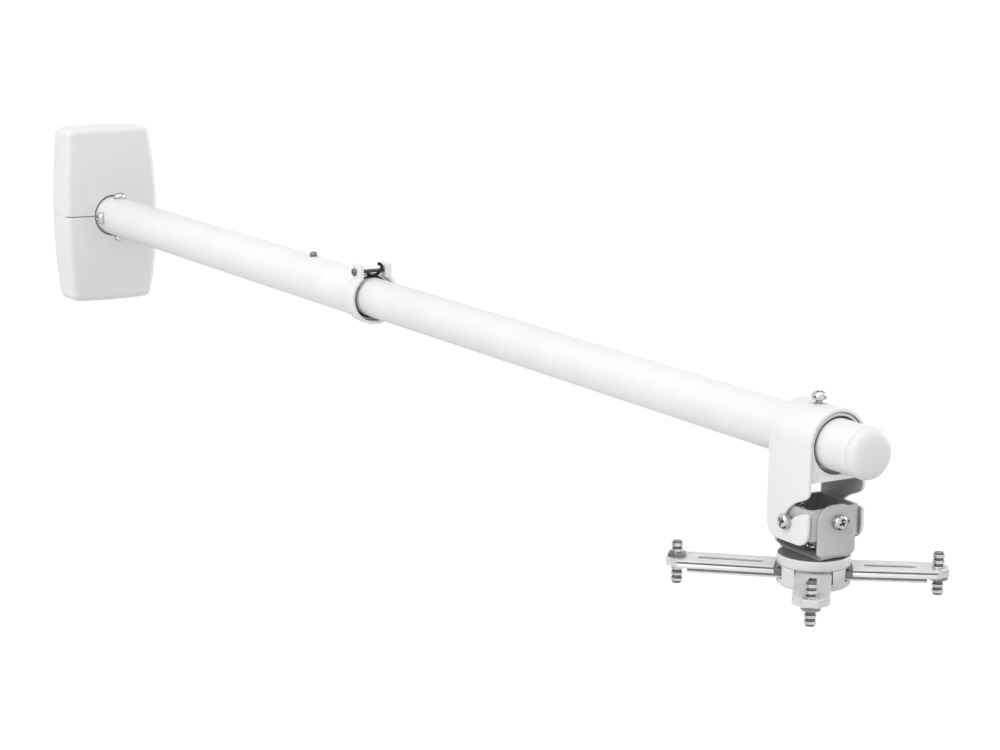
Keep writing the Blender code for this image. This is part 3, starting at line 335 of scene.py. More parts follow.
# Painted half shade: the white coat darkened for the inner faces of the saddle's legs
PAINTED_HALF_SHADE_COAT = replace(
    PAINTED_DEEP_SHADE_COAT, name="painted_half_shade_powder_coat", colour=grey(0.42, 0.005), shade=grey(0.34, 0.005),
    edge=grey(0.6), hollow=grey(0.08),
)
MOULDED_WHITE = Finish(
    "moulded_white", "cover_plastic", colour=grey(0.80), shade=grey(0.77), edge=grey(0.90),
    hollow=grey(0.50), roughness=0.5, spread=0.05, mottle_scale=9.0, grain_scale=1500.0,
    grain_height=0.000025, pits=0.5, wear_and_crease_shade=0.35,
)
SATIN_ZINC = Finish(
    "satin_zinc", "painted_steel", colour=grey(0.71), shade=grey(0.63, 0.005), edge=grey(0.93),
    hollow=grey(0.10, 0.005), roughness=0.32, spread=0.06, metallic=0.3, mottle_scale=60.0, wear_and_crease_shade=0.9,
)
# Dark zinc for the dark fasteners, also used as painted shade in screw recesses, post grooves and the
# arms' lines
DARK_ZINC_AND_PAINTED_SHADE = Finish(
    "dark_zinc_and_painted_shade", "plated_steel", colour=grey(0.20, 0.005), shade=grey(0.13, 0.005), edge=grey(0.45, 0.01),
    hollow=grey(0.03), roughness=0.35, spread=0.08, metallic=0.8, mottle_scale=160.0, grain_scale=1500.0,
    wear_and_crease_shade=0.8,
)
# rim paints dark edge-on faces, standing in for dark reflections on the metal
BRIGHT_ZINC = Finish(
    "bright_zinc", "plated_steel", colour=grey(0.66, 0.01), shade=grey(0.52, 0.02), edge=grey(0.86, 0.01),
    hollow=grey(0.05, 0.005), roughness=0.2, spread=0.08, metallic=1.0, mottle_scale=240.0,
    grain_scale=1800.0, grain_height=0.000008, wear_and_crease_shade=0.9, rim=0.9,
)
# rim paints dark edge-on faces, standing in for dark reflections on the metal
BLACK_OXIDE = Finish(
    "black_oxide", "black_steel", colour=grey(0.22, 0.005), shade=grey(0.15, 0.005),
    edge=grey(0.42, 0.01), hollow=grey(0.02), roughness=0.3, spread=0.1, metallic=0.9, mottle_scale=300.0,
    grain_scale=2200.0, rim=0.8,
)
BLACK_COAT = Finish(
    "black_wire_coat", "coated_wire", colour=grey(0.008, 0.001), shade=grey(0.014, 0.001),
    edge=grey(0.04), hollow=grey(0.003), roughness=0.45, spread=0.06, mottle_scale=200.0,
    grain_scale=2600.0, specular=0.2,
)
DARK_NYLON = Finish(
    "dark_nylon", "nylon", colour=grey(0.05, 0.002), shade=grey(0.035, 0.002), edge=grey(0.10),
    hollow=grey(0.01), roughness=0.55, spread=0.05, grain_scale=1600.0, grain_height=0.00003, pits=0.3,
)


# Modelling by operators


def alone(obj: Piece) -> None:
    """Selects one object and makes it active."""
    bpy.ops.object.select_all(action="DESELECT")
    obj.select_set(True)
    bpy.context.view_layer.objects.active = obj


def named(name: str) -> Piece:
    """Names the object that an operator has just added."""
    obj = bpy.context.view_layer.objects.active
    obj.name = name
    obj.data.name = name
    return obj


def settle(obj: Piece, matrix: Matrix) -> None:
    """Moves a piece to its place and writes that place into its mesh."""
    alone(obj)
    obj.matrix_world = matrix @ obj.matrix_world
    bpy.ops.object.transform_apply(location=True, rotation=True, scale=True)


def facing(origin: Vector, direction: Vector) -> Matrix:
    """Gives the matrix whose local Z points along a direction."""
    turn = direction.to_track_quat("Z", "Y").to_matrix().to_4x4()
    return Matrix.Translation(origin) @ turn


def extent(node: str) -> tuple[Vector, Vector]:
    """Gives the middle and the half size of a node's box."""
    low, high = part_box(node)
    return (low + high) / 2.0, (high - low) / 2.0


def linked(name: str, data: bpy.types.ID) -> Piece:
    """Adds an object for a mesh, lamp or camera."""
    obj = bpy.data.objects.new(name, data)
    bpy.context.scene.collection.objects.link(obj)
    return obj


@contextmanager
def edit_mode(obj: Piece) -> Iterator[None]:
    """Opens an object's mesh for editing, with everything selected."""
    alone(obj)
    bpy.ops.object.mode_set(mode="EDIT")
    bpy.ops.mesh.select_all(action="SELECT")
    yield
    bpy.ops.object.mode_set(mode="OBJECT")


def weld() -> None:
    """Joins doubled vertices of the open mesh and selects everything."""
    bpy.ops.mesh.select_all(action="SELECT")
    bpy.ops.mesh.remove_doubles(threshold=WELD)
    bpy.ops.mesh.select_all(action="SELECT")


def apply_modifier(obj: Piece, kind: str, **values: object) -> None:
    """Adds a modifier, sets its properties and applies it."""
    modifier = obj.modifiers.new(kind.lower(), kind)
    for name, value in values.items():
        setattr(modifier, name, value)
    alone(obj)
    bpy.ops.object.modifier_apply(modifier=modifier.name)


def combine(obj: Piece, tool: Piece, operation: str = "DIFFERENCE") -> None:
    """Applies a Boolean with a tool, which is then removed."""
    apply_modifier(obj, "BOOLEAN", object=tool, operation=operation, solver="EXACT")
    bpy.data.objects.remove(tool, do_unlink=True)


def eased(obj: Piece, width: float, segments: int = 2, angle: float = 32.0) -> None:
    """Rounds a piece's edges a little."""
    apply_modifier(
        obj, "BEVEL", width=width, segments=segments, limit_method="ANGLE",
        angle_limit=math.radians(angle), use_clamp_overlap=True, miter_outer="MITER_ARC",
    )


def rounded(points: list[Point2], radius: float, closed: bool = False) -> list[Point2]:
    """Eases the corners of a section.

    Args:
        points: The section's corners.
        radius: Distance from each corner at which its round starts.
        closed: Whether the section closes on itself.

    Returns:
        The section with three points for each eased corner.
    """
    result: list[Point2] = []
    count = len(points)
    for index, point in enumerate(points):
        if not closed and index in (0, count - 1):
            result.append(point)
            continue
        corner = Vector(point)
        legs = []
        for other in (points[index - 1], points[(index + 1) % count]):
            leg = Vector(other) - corner
            reach = min(radius, LONGEST_LEG * leg.length)
            legs.append(corner + leg.normalized() * reach)
        middle = 0.25 * legs[0] + 0.5 * corner + 0.25 * legs[1]
        result += [tuple(legs[0]), tuple(middle), tuple(legs[1])]
    return result


def turned(name: str, section: list[Point2], steps: int = SMALL_STEPS, closed: bool = False) -> Piece:
    """Turns a section round local Z with the spin operator.

    Args:
        name: Name of the new object.
        section: Points of radius and height.
        steps: Facets round the axis.
        closed: Whether the section is a ring's and closes on itself.

    Returns:
        The turned object, with its faces pointing outwards.
    """
    bpy.ops.mesh.primitive_plane_add(size=0.001)
    obj = named(name)
    with edit_mode(obj):
        bpy.ops.mesh.select_mode(type="VERT")
        bpy.ops.mesh.merge(type="CENTER")
        bpy.ops.transform.translate(value=(section[0][0], 0.0, section[0][1]))
        route = section + section[:1] if closed else section
        for before, after in zip(route, route[1:]):
            step = (after[0] - before[0], 0.0, after[1] - before[1])
            bpy.ops.mesh.extrude_region_move(TRANSFORM_OT_translate={"value": step})
        weld()
        bpy.ops.mesh.spin(steps=steps, angle=math.tau, center=(0.0, 0.0, 0.0), axis=(0.0, 0.0, 1.0))
        weld()
        bpy.ops.mesh.normals_make_consistent(inside=False)
    return obj


def pipe(name: str, inner: float, outer: float, length: float, ease: float, steps: int) -> Piece:
    """Turns a tube or ring that starts at the local origin and runs along local Z."""
    corners = [(outer, length), (outer, 0.0), (inner, 0.0), (inner, length)]
    return turned(name, rounded(corners, ease, closed=True), steps, closed=True)


def softened(node: str, width: float, segments: int = 2) -> Piece:
    """Copies a node's mesh, welds it and eases its edges."""
    obj = linked(f"{node}_finished", FRAME["nodes"][node].data.copy())
    with edit_mode(obj):
        weld()
        bpy.ops.mesh.dissolve_limited(angle_limit=FLAT_LIMIT)
    eased(obj, width, segments)
    return obj


def dress(obj: Piece, finish: Finish, body: str, *nodes: str) -> Piece:
    """Gives a piece its finish and place in the model, and reports it.

    Args:
        obj: The finished mesh.
        finish: Its surface.
        body: Body that it rides on.
        nodes: Nodes that it stands for.

    Returns:
        The same object.
    """
    obj.data.materials.clear()
    obj.data.materials.append(finish.material())
    for polygon in obj.data.polygons:
        polygon.material_index = 0
    alone(obj)
    bpy.ops.object.shade_smooth_by_angle(angle=SMOOTH_LIMIT)
    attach(obj, body)
    if nodes:
        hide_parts(*nodes)
    LOG.info("%s: %d faces on %s", obj.name, len(obj.data.polygons), body)
    return obj


def finished(node: str, body: str, finish: Finish, width: float, segments: int = 2) -> Piece:
    """Copies a node's mesh, eases its edges and dresses it."""
    return dress(softened(node, width, segments), finish, body, node)


def line(obj: Piece, finish: Finish, chosen: Callable[[Vector, Vector], bool]) -> None:
    """Gives a finish to the faces whose centre and normal pass a test."""
    obj.data.materials.append(finish.material())
    last = len(obj.data.materials) - 1
    for polygon in obj.data.polygons:
        if chosen(polygon.center, polygon.normal):
            polygon.material_index = last


# Fixings


@dataclass
class Fixing:
    """A small part on a straight axis, with the place and size of its node."""

    node: str
    body: str
    outward: Vector

    @cached_property
    def centre(self) -> Vector:
        """Middle of the node."""
        return extent(self.node)[0]

    @cached_property
    def half(self) -> float:
        """Half of the node's size along the axis."""
        return sum(abs(size * part) for size, part in zip(extent(self.node)[1], self.outward))

    @cached_property
    def radius(self) -> float:
        """Half of the node's largest size across the axis."""
        sizes = zip(extent(self.node)[1], self.outward)
        return max(size for size, part in sizes if abs(part) < 0.5)


@dataclass
class Fastener(Fixing):
    """A screw with a pan head, a thread and a drive recess."""

    shank: float
    head_height: float
    finish: Finish = BRIGHT_ZINC
    drive: Drive = Drive.CROSS
    thread: float = 0.001
    key: float = 0.5
    head_share: float = 1.0
    raised: float = 0.0
    neck: float = 0.0004
    chamfer: float = 0.0003
    point: float = 0.0002
    plain_end: float = 0.0012
    thread_depth: float = 0.45
    recess_depth: float = 0.62
    wing: float = 0.26
    wing_foot: float = 0.10
    wing_span: float = 0.98
    wing_proud: float = 0.0002
    cross_turn: float = 0.3
    # Bounds of the recess faces that get painted shade
    dark_depth: float = 0.9
    dark_radius: float = 0.74
    dark_facing: float = 0.45

    @cached_property
    def high(self) -> float:
        """Place of the head's top along the screw."""
        return self.half + self.raised

    @cached_property
    def head(self) -> float:
        """Radius of the head."""
        return self.head_share * self.radius

    def section(self) -> list[Point2]:
        """Draws the screw's section from the head's pole to the tip."""
        seat = self.high - self.head_height
        root = self.shank - self.thread_depth * self.thread
        points = [(self.head * r, seat + self.head_height * h) for r, h in PAN_DOME]
        points += [(self.head, seat + self.neck), (self.head - self.chamfer, seat)]
        points.append((self.shank, seat))
        turns = max(int((seat + self.half - self.plain_end) / self.thread), 1)
        for turn in range(turns):
            top = seat - self.neck - turn * self.thread
            for share, on_crest in THREAD_FORM:
                radius = self.shank if on_crest else root
                points.append((radius, top - share * self.thread))
        points += [(root, self.point - self.half), (root - self.chamfer, -self.half)]
        points.append((0.0, -self.half))
        return points

    def recess(self, obj: Piece) -> None:
        """Cuts the drive recess into the head."""
        depth = self.recess_depth * self.head_height
        if self.drive is Drive.HEX:
            bpy.ops.mesh.primitive_cylinder_add(
                vertices=6, radius=self.key * self.head, depth=2.0 * depth,
                location=(0.0, 0.0, self.high),
            )
            combine(obj, named("hex_key"))
            return
        for turn in (0.0, math.pi / 2.0):
            bpy.ops.mesh.primitive_cone_add(
                vertices=4, radius1=self.wing_foot * self.head, radius2=self.wing_span * self.head,
                depth=depth, location=(0.0, 0.0, self.high - 0.5 * depth + self.wing_proud),
            )
            wing = named("cross_wing")
            wing.rotation_euler = (0.0, 0.0, math.pi / 4.0)
            bpy.ops.object.transform_apply(location=False, rotation=True, scale=False)
            wing.scale = (1.0, self.wing, 1.0)
            wing.rotation_euler = (0.0, 0.0, turn + self.cross_turn)
            combine(obj, wing)

    def in_recess(self, place: Vector, normal: Vector) -> bool:
        """Tells a face of the recess, which gets painted shade, from one of the dome."""
        along = (place - self.centre).dot(self.outward)
        across = (place - self.centre - along * self.outward).length
        high_enough = along > self.high - self.dark_depth * self.head_height
        near = across < self.dark_radius * self.head
        return high_enough and near and normal.dot(self.outward) < self.dark_facing

    def build(self) -> None:
        """Turns the screw, cuts its recess, dresses it and paints shade into the recess."""
        obj = turned(self.node + "_turned", self.section())
        self.recess(obj)
        settle(obj, facing(self.centre, self.outward))
        dress(obj, self.finish, self.body, self.node)
        # Painted shade on the faces inside the recess
        line(obj, DARK_ZINC_AND_PAINTED_SHADE, self.in_recess)


@dataclass
class HexNut(Fixing):
    """A hexagon nut with chamfered corners, and a flange if it has one."""

    bore: float
    flats: float
    turn: float = 0.0
    flange: float = 0.0
    finish: Finish = BRIGHT_ZINC
    face: float = 0.48
    slope: float = 0.6
    lower_slope: float = 0.3
    proud: float = 0.0001
    skirt_top: float = 0.46
    skirt_height: float = 0.0011
    brim_height: float = 0.0006
    brim_ease: float = 0.0002
    ease: float = 0.00015
    bore_steps: int = 32

    def build(self) -> None:
        """Models the nut at its node's place; the seat lies opposite to outward."""
        corner = self.flats / math.sqrt(3.0)
        half = self.half
        bpy.ops.mesh.primitive_cylinder_add(vertices=6, radius=corner, depth=2.0 * half)
        obj = named(self.node + "_finished")
        drop = (corner - 0.5 * self.flats) * self.slope
        blank = [
            (0.0, half), (self.face * self.flats, half), (corner + self.proud, half - drop),
            (corner + self.proud, -half + self.lower_slope * drop), (0.5 * self.flats, -half),
            (0.0, -half),
        ]
        combine(obj, turned("nut_blank", blank, MIDDLE_STEPS), "INTERSECT")
        if self.flange:
            skirt = [
                (0.0, -half + self.skirt_height),
                (self.skirt_top * self.flats, -half + self.skirt_height),
                (self.flange, -half + self.brim_height), (self.flange, -half), (0.0, -half),
            ]
            brim = turned("nut_flange", rounded(skirt, self.brim_ease), MIDDLE_STEPS)
            combine(obj, brim, "UNION")
        bpy.ops.mesh.primitive_cylinder_add(vertices=self.bore_steps, radius=self.bore, depth=6.0 * half)
        combine(obj, named("nut_bore"))
        eased(obj, self.ease)
        settle(obj, facing(self.centre, self.outward) @ Matrix.Rotation(self.turn, 4, "Z"))
        dress(obj, self.finish, self.body, self.node)


@dataclass
class Washer(Fixing):
    """A flat washer between a screw's head and the sheet."""

    bore: float = 0.0033
    ease: float = 0.0003

    def build(self) -> None:
        """Turns the washer at its node's place."""
        name = self.node + "_turned"
        obj = pipe(name, self.bore, self.radius, 2.0 * self.half, self.ease, MIDDLE_STEPS)
        settle(obj, facing(self.centre - self.half * self.outward, self.outward))
        dress(obj, BRIGHT_ZINC, self.body, self.node)


def cross_screw(node: str, body: str, outward: Vector) -> None:
    """Builds one of the head's tilt and roll screws."""
    Fastener(node, body, outward, shank=0.003, head_height=0.0046).build()


# Tubes and bushes


@dataclass
class Sleeve:
    """A bush or tube round the mount's axis, as long as its node."""

    node: str
    body: str
    inner: float
    outer: float = 0.0217
    ease: float = 0.0002
    finish: Finish = DARK_NYLON
    ending: str = "turned"
    steps: int = ROUND_STEPS

    def build(self) -> None:
        """Turns the sleeve and dresses it."""
        low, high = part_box(self.node)
        name = f"{self.node}_{self.ending}"
        obj = pipe(name, self.inner, self.outer, high.y - low.y, self.ease, self.steps)
        settle(obj, facing(Vector((0.0, high.y, 0.0)), OUTWARD))
        dress(obj, self.finish, self.body, self.node)


@dataclass
class DrawnTube(Sleeve):
    """A painted steel tube."""

    ease: float = 0.0006
    finish: Finish = POWDER_COAT
    ending: str = "drawn"
    steps: int = 128


# Sub-assemblies


@dataclass
class WallCover:
    """The two moulded halves over the wall plate, and the plate with its stub."""

    body: str = "wall_side"
    half_height: float = 0.111
    half_width: float = 0.0615
    top_half_width: float = 0.055
    bottom_half_width: float = 0.053
    arch: float = 0.0015
    corner: float = 0.0105
    depth: float = 0.054
    edge: float = 0.0096
    fall: float = 0.010
    fall_power: float = 2.2
    crown: float = 0.0015
    shoulder: float = 0.006
    shoulder_power: float = 5.0
    hole: float = 0.0262
    wall: float = 0.0024
    seam: float = 0.0006
    back: float = 0.0003
    ease: float = 0.0005
    side_steps: int = 14
    corner_steps: int = 10
    end_steps: int = 8
    edge_steps: int = 8
    side_rings: tuple[float, ...] = (0.0, 0.5)
    front_rings: tuple[float, ...] = (0.12, 0.25, 0.4, 0.55, 0.7, 0.85, 0.95, 1.0)

    def front(self, x: float, z: float) -> float:
        """Distance of the front skin from the wall."""
        fall = self.fall * (abs(z) / self.half_height) ** self.fall_power
        aside = abs(x) / self.half_width
        shoulder = self.shoulder * aside**self.shoulder_power
        return self.depth - fall - shoulder - self.crown * aside**2

    def outline(self, end_half_width: float) -> list[Vector]:
        """Draws a quarter outline from the seam to the end's middle.

        Args:
            end_half_width: Half width at the cover's end.

        Returns:
            Points of x and z.
        """

        def side(z: float) -> float:
            """Half width at a height."""
            narrowing = self.half_width - end_half_width
            return self.half_width - narrowing * (z / self.half_height) ** 2

        def end(x: float) -> float:
            """Half height at a distance from the middle."""
            return self.half_height - self.arch * (x / end_half_width) ** 2

        corner_x = side(self.half_height - self.corner) - self.corner
        corner_z = end(corner_x) - self.corner
        points = []
        for index in range(self.side_steps):
            z = self.seam + (corner_z - self.seam) * index / self.side_steps
            points.append(Vector((side(z), z)))
        for index in range(self.corner_steps + 1):
            angle = math.radians(90.0 * index / self.corner_steps)
            x = corner_x + self.corner * math.cos(angle)
            points.append(Vector((x, corner_z + self.corner * math.sin(angle))))
        for index in range(1, self.end_steps + 1):
            x = corner_x * (1.0 - index / self.end_steps)
            points.append(Vector((x, end(x))))
        return points

    def rings(self, end_half_width: float) -> list[list[Vector]]:
        """Lays rings of points from the rim at the wall to the tube's hole."""
        outline = self.outline(end_half_width)
        last = len(outline) - 1
        normals = []
        for index in range(last + 1):
            along = outline[min(index + 1, last)] - outline[max(index - 1, 0)]
            along.normalize()
            normals.append(Vector((along.y, -along.x)))
        normals[0] = Vector((1.0, 0.0))
        normals[last] = Vector((0.0, 1.0))
        inset = [point - self.edge * normal for point, normal in zip(outline, normals)]
        start = math.asin(self.seam / self.hole)
        rims = []
        for index in range(last + 1):
            angle = start + (math.pi / 2.0 - start) * index / last
            rims.append(Vector((self.hole * math.cos(angle), self.hole * math.sin(angle))))
        skin = [self.front(inner.x, inner.y) - self.edge for inner in inset]

        def ring(places: list[Vector], depths: list[float]) -> list[Vector]:
            """Puts places of x and z at their distances from the wall."""
            return [Vector((place.x, depth, place.y)) for place, depth in zip(places, depths)]

        rows = []
        for share in self.side_rings:
            rows.append(ring(outline, [self.back + share * depth for depth in skin]))
        for index in range(self.edge_steps + 1):
            angle = math.pi / 2.0 * index / self.edge_steps
            pull = self.edge * (1.0 - math.cos(angle))
            places = [point - pull * normal for point, normal in zip(outline, normals)]
            rows.append(ring(places, [depth + self.edge * math.sin(angle) for depth in skin]))
        for share in self.front_rings:
            places = [inner.lerp(rim, share) for inner, rim in zip(inset, rims)]
            rows.append(ring(places, [self.front(place.x, place.y) for place in places]))
        return rows

    def half(self, node: str, end_half_width: float, sign: float) -> None:
        """Models one half: a grid laid on the rings, mirrored and given its wall.

        Args:
            node: The half's node.
            end_half_width: Half width at its end.
            sign: 1 for the upper half, -1 for the lower one.
        """
        rows = self.rings(end_half_width)
        columns = len(rows[0]) - 1
        levels = len(rows) - 1
        bpy.ops.mesh.primitive_grid_add(x_subdivisions=columns, y_subdivisions=levels, size=2.0)
        obj = named(node + "_moulded")
        for vertex in obj.data.vertices:
            column = round((vertex.co.x + 1.0) / 2.0 * columns)
            level = round((vertex.co.y + 1.0) / 2.0 * levels)
            place = rows[level][column]
            vertex.co = (place.x, -place.y, sign * place.z)
        apply_modifier(obj, "MIRROR", merge_threshold=0.00001)
        with edit_mode(obj):
            bpy.ops.mesh.normals_make_consistent(inside=False)
        facing_wall = sum(polygon.normal.y * polygon.area for polygon in obj.data.polygons)
        if facing_wall > 0.0:
            obj.data.flip_normals()
        apply_modifier(obj, "SOLIDIFY", thickness=self.wall, offset=-1.0)
        eased(obj, self.ease, segments=3, angle=50.0)
        dress(obj, MOULDED_WHITE, self.body, node)

    def build(self) -> None:
        """Builds both halves and the plate behind them."""
        self.half("cover_upper", self.top_half_width, 1.0)
        self.half("cover_lower", self.bottom_half_width, -1.0)
        finished("wall_plate", self.body, POWDER_COAT, width=0.0004)


@dataclass
class OuterTube:
    """The fixed tube, its four socket screws and the stop screw."""

    body: str = "wall_side"
    radius: float = 0.024
    wall: float = 0.002

    def build(self) -> None:
        """Turns the tube and its screws."""
        DrawnTube("outer_tube", self.body, self.radius - self.wall, self.radius).build()
        for side, outward in (("top", UP), ("bottom", -UP), ("left", -SIDE), ("right", SIDE)):
            Fastener(
                "socket_screw_" + side, self.body, outward, shank=0.004, head_height=0.006,
                head_share=0.9,
            ).build()
        Fastener(
            "lock_screw", self.body, UP, shank=0.0025, head_height=0.0048, finish=BLACK_OXIDE,
            drive=Drive.HEX, thread=0.0008, key=0.36, raised=0.002,
        ).build()


@dataclass
class ClampCollar:
    """The split collar at the tube's mouth with its bolt, nut, cable hook and guide bush."""

    body: str = "wall_side"
    growth: float = 0.00022
    bush_bore: float = 0.0202

    def hook(self) -> None:
        """Rounds the bent wire: a copy of its solid with one subdivision."""
        obj = softened("cable_hook", width=0.0003)
        apply_modifier(obj, "SUBSURF", levels=1, render_levels=1)
        apply_modifier(obj, "DISPLACE", strength=self.growth, mid_level=0.0)
        dress(obj, BLACK_COAT, self.body, "cable_hook")

    def build(self) -> None:
        """Builds the collar and what it carries."""
        finished("clamp_collar", self.body, POWDER_COAT, width=0.0005, segments=3)
        Fastener(
            "collar_bolt", self.body, -SIDE, shank=0.002, head_height=0.0031, finish=DARK_ZINC_AND_PAINTED_SHADE,
            thread=0.0007,
        ).build()
        HexNut("collar_nut", self.body, SIDE, bore=0.0021, flats=0.007, finish=DARK_ZINC_AND_PAINTED_SHADE).build()
        self.hook()
        Sleeve("guide_bush", self.body, self.bush_bore).build()


@dataclass
class SlidingTube:
    """The inner tube with its rear bush and end cap."""

    body: str = "inner_tube"
    radius: float = 0.020
    wall: float = 0.002
    bush_bore: float = 0.0203
    cap_radius: float = 0.0202
    cap_height: float = 0.0098
    cap_rim: float = 0.0006
    plug_gap: float = 0.0003
    plug_chamfer: float = 0.001
    plug_wall: float = 0.002
    hollow_radius: float = 0.6
    hollow_edge: float = 0.5
    hollow_depth: float = 0.0065

    def cap_section(self, seat: float, inside: float) -> list[Point2]:
        """Draws the cap: a shallow dome with a turned-in rim, and its hollow plug."""
        plug = self.radius - self.wall - self.plug_gap
        hollow = self.hollow_radius * self.cap_radius
        section = [(self.cap_radius * r, seat + self.cap_height * h) for r, h in CAP_DOME]
        section += [(self.cap_radius, seat + self.cap_rim), (self.cap_radius - self.cap_rim, seat)]
        section += [(plug, seat), (plug, inside + self.plug_chamfer)]
        section += [(plug - self.plug_chamfer, inside), (plug - self.plug_wall, inside)]
        section += [(plug - self.plug_wall, seat), (hollow, seat + self.hollow_edge * self.cap_height)]
        section.append((0.0, seat + self.hollow_depth))
        return section

    def build(self) -> None:
        """Turns the tube, the bush and the cap."""
        DrawnTube("inner_tube", self.body, self.radius - self.wall, self.radius).build()
        Sleeve("rear_bush", self.body, self.bush_bore).build()
        low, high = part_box("end_cap")
        seat = -low.y - self.cap_height
        cap = turned("end_cap_moulded", self.cap_section(seat, -high.y), ROUND_STEPS)
        settle(cap, facing(Vector(), OUTWARD))
        dress(cap, MOULDED_WHITE, self.body, "end_cap")


@dataclass
class Saddle:
    """The strap over the inner tube with its two plates and clamp screw."""

    body: str = "saddle"
    sheet: float = 0.003
    plates_end: float = -0.029
    inside: float = 0.0262
    ring: float = 0.0226
    ring_flare: float = 0.0004
    ring_depth: float = 0.0013
    ring_band: float = 0.0015
    hole_drop: float = 0.0009
    cut_start: float = -0.001
    skin: float = 0.0002
    least_lean: float = 0.00001

    def strap(self) -> None:
        """Dresses the strap, with painted shade on its inner faces: half shade between the legs, deep
        shade over the tube.
        """
        obj = finished("saddle_strap", self.body, POWDER_COAT, width=0.0006, segments=3)
        middle, half = extent("saddle_strap")
        inner = half.x - self.sheet + BEND_MARGIN

        def inside_legs(centre: Vector, normal: Vector) -> bool:
            """Tells the faces between the legs that look inwards."""
            aside = centre.x - middle.x
            return abs(aside) < inner and normal.x * aside < -self.least_lean

        def over_tube(centre: Vector, normal: Vector) -> bool:
            """Tells the faces close over the tube."""
            near = centre.z > self.plates_end and centre.xz.length < self.inside
            return near and abs(normal.y) < SIDEWAYS

        # Painted shade on the inner faces of the legs and on the faces over the tube
        line(obj, PAINTED_HALF_SHADE_COAT, inside_legs)
        line(obj, PAINTED_DEEP_SHADE_COAT, over_tube)

    def plate(self, node: str) -> None:
        """Dresses a plate, with a countersunk edge round its hole, and painted shade on its back and
        round the hole's edge.
        """
        obj = softened(node, width=0.0003)
        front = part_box(node)[0].y
        cut = [(0.0, self.cut_start), (self.ring + self.ring_flare, self.cut_start)]
        cut += [(self.ring, self.ring_depth), (0.0, self.ring_depth)]
        rim = turned("countersink", cut, ROUND_STEPS)
        settle(rim, facing(Vector((0.0, front, -self.hole_drop)), -OUTWARD))
        combine(obj, rim)
        dress(obj, POWDER_COAT, self.body, node)

        def unlit(centre: Vector, normal: Vector) -> bool:
            """Tells the back and the hole's edge."""
            near_hole = centre.xz.length < self.ring + self.ring_band
            return normal.y > SIDEWAYS or (centre.y > front + self.skin and near_hole)

        # Painted shade on the plate's back and round its hole
        line(obj, PAINTED_DEEP_SHADE_COAT, unlit)

    def build(self) -> None:
        """Dresses the strap and plates and turns the screw."""
        self.strap()
        self.plate("saddle_front_plate")
        self.plate("saddle_rear_plate")
        Fastener("saddle_screw", self.body, UP, shank=0.003, head_height=0.0061).build()


@dataclass
class TiltBlock:
    """The square block between the saddle's legs, with its screws, washers and nuts."""

    body: str = "tilt_block"
    inward_share: float = 0.4
    nut_bore: float = 0.0031
    nut_flats: float = 0.010

    def build(self) -> None:
        """Dresses the block in the greyed coat, with painted shade on the faces inside it, and builds its
        fixings.
        """
        block = finished("tilt_block", self.body, SHADE_GREYED_HEAD_COAT, width=0.0005, segments=3)
        middle, _ = extent("tilt_block")

        def looks_in(centre: Vector, normal: Vector) -> bool:
            """Tells the faces that look into the block."""
            inward = Vector((middle.x, middle.y, centre.z)) - centre
            level = abs(normal.z) < SIDEWAYS
            return level and normal.dot(inward) > self.inward_share * inward.length

        # Painted shade on the faces that look into the block
        line(block, PAINTED_DIM_SHADE_COAT, looks_in)
        for side, outward in (("left", -SIDE), ("right", SIDE)):
            cross_screw("tilt_screw_" + side, self.body, outward)
            Washer("tilt_washer_" + side, self.body, outward).build()
            HexNut("tilt_nut_" + side, self.body, -outward, self.nut_bore, self.nut_flats).build()
        for side, outward in FRONT_AND_REAR:
            HexNut("roll_nut_" + side, self.body, -outward, self.nut_bore, self.nut_flats).build()


@dataclass
class RollBracket:
    """The U bracket under the block, with its two screws and washers."""

    body: str = "roll_bracket"
    sheet: float = 0.003

    def build(self) -> None:
        """Dresses the bracket in the greyed coat, with painted shade between its ears, and builds its
        fixings.
        """
        bracket = finished("roll_bracket", self.body, SHADE_GREYED_HEAD_COAT, width=0.0006, segments=3)
        middle, half = extent("roll_bracket")
        inner = half.y - self.sheet + BEND_MARGIN
        # Painted shade on the faces between the bracket's ears
        line(bracket, PAINTED_DIM_SHADE_COAT, lambda centre, normal: abs(centre.y - middle.y) < inner)
        for side, outward in FRONT_AND_REAR:
            cross_screw("roll_screw_" + side, self.body, outward)
            Washer("roll_washer_" + side, self.body, outward).build()


@dataclass
class Hub:
    """The swivelling hub: cap disc, body, bolt, nut and the arms' pivot screws."""

    body: str = "hub"
    skin: float = 0.0008
    level: float = 0.9
    undercut: float = -0.5

    def build(self) -> None:
        """Dresses the hub in the greyed coat, with painted shade on the disc's top and inside the body's
        windows, and builds its fasteners.
        """
        disc = finished("hub_cap_disc", self.body, SHADE_GREYED_HUB_COAT, width=0.0004)
        # Painted shade on the disc's top face, under the bracket
        line(disc, PAINTED_DEEP_SHADE_COAT, lambda centre, normal: normal.z > self.level)
        shell = finished("hub_body", self.body, SHADE_GREYED_HUB_COAT, width=0.0004)
        middle, half = extent("hub_body")

        def in_windows(centre: Vector, normal: Vector) -> bool:
            """Tells the faces behind the outer skin that don't look down."""
            return (centre - middle).xy.length < half.x - self.skin and normal.z > self.undercut

        # Painted shade on the faces inside the windows
        line(shell, PAINTED_DEEP_SHADE_COAT, in_windows)
        Fastener("hub_bolt", self.body, UP, shank=0.004, head_height=0.0055, drive=Drive.HEX).build()
        HexNut("hub_nut", self.body, -UP, bore=0.0041, flats=0.013).build()
        for name in Arm.names():
            screw = "arm_pivot_screw_" + name
            Fastener(screw, self.body, -UP, shank=0.0025, head_height=0.003, thread=0.0008).build()


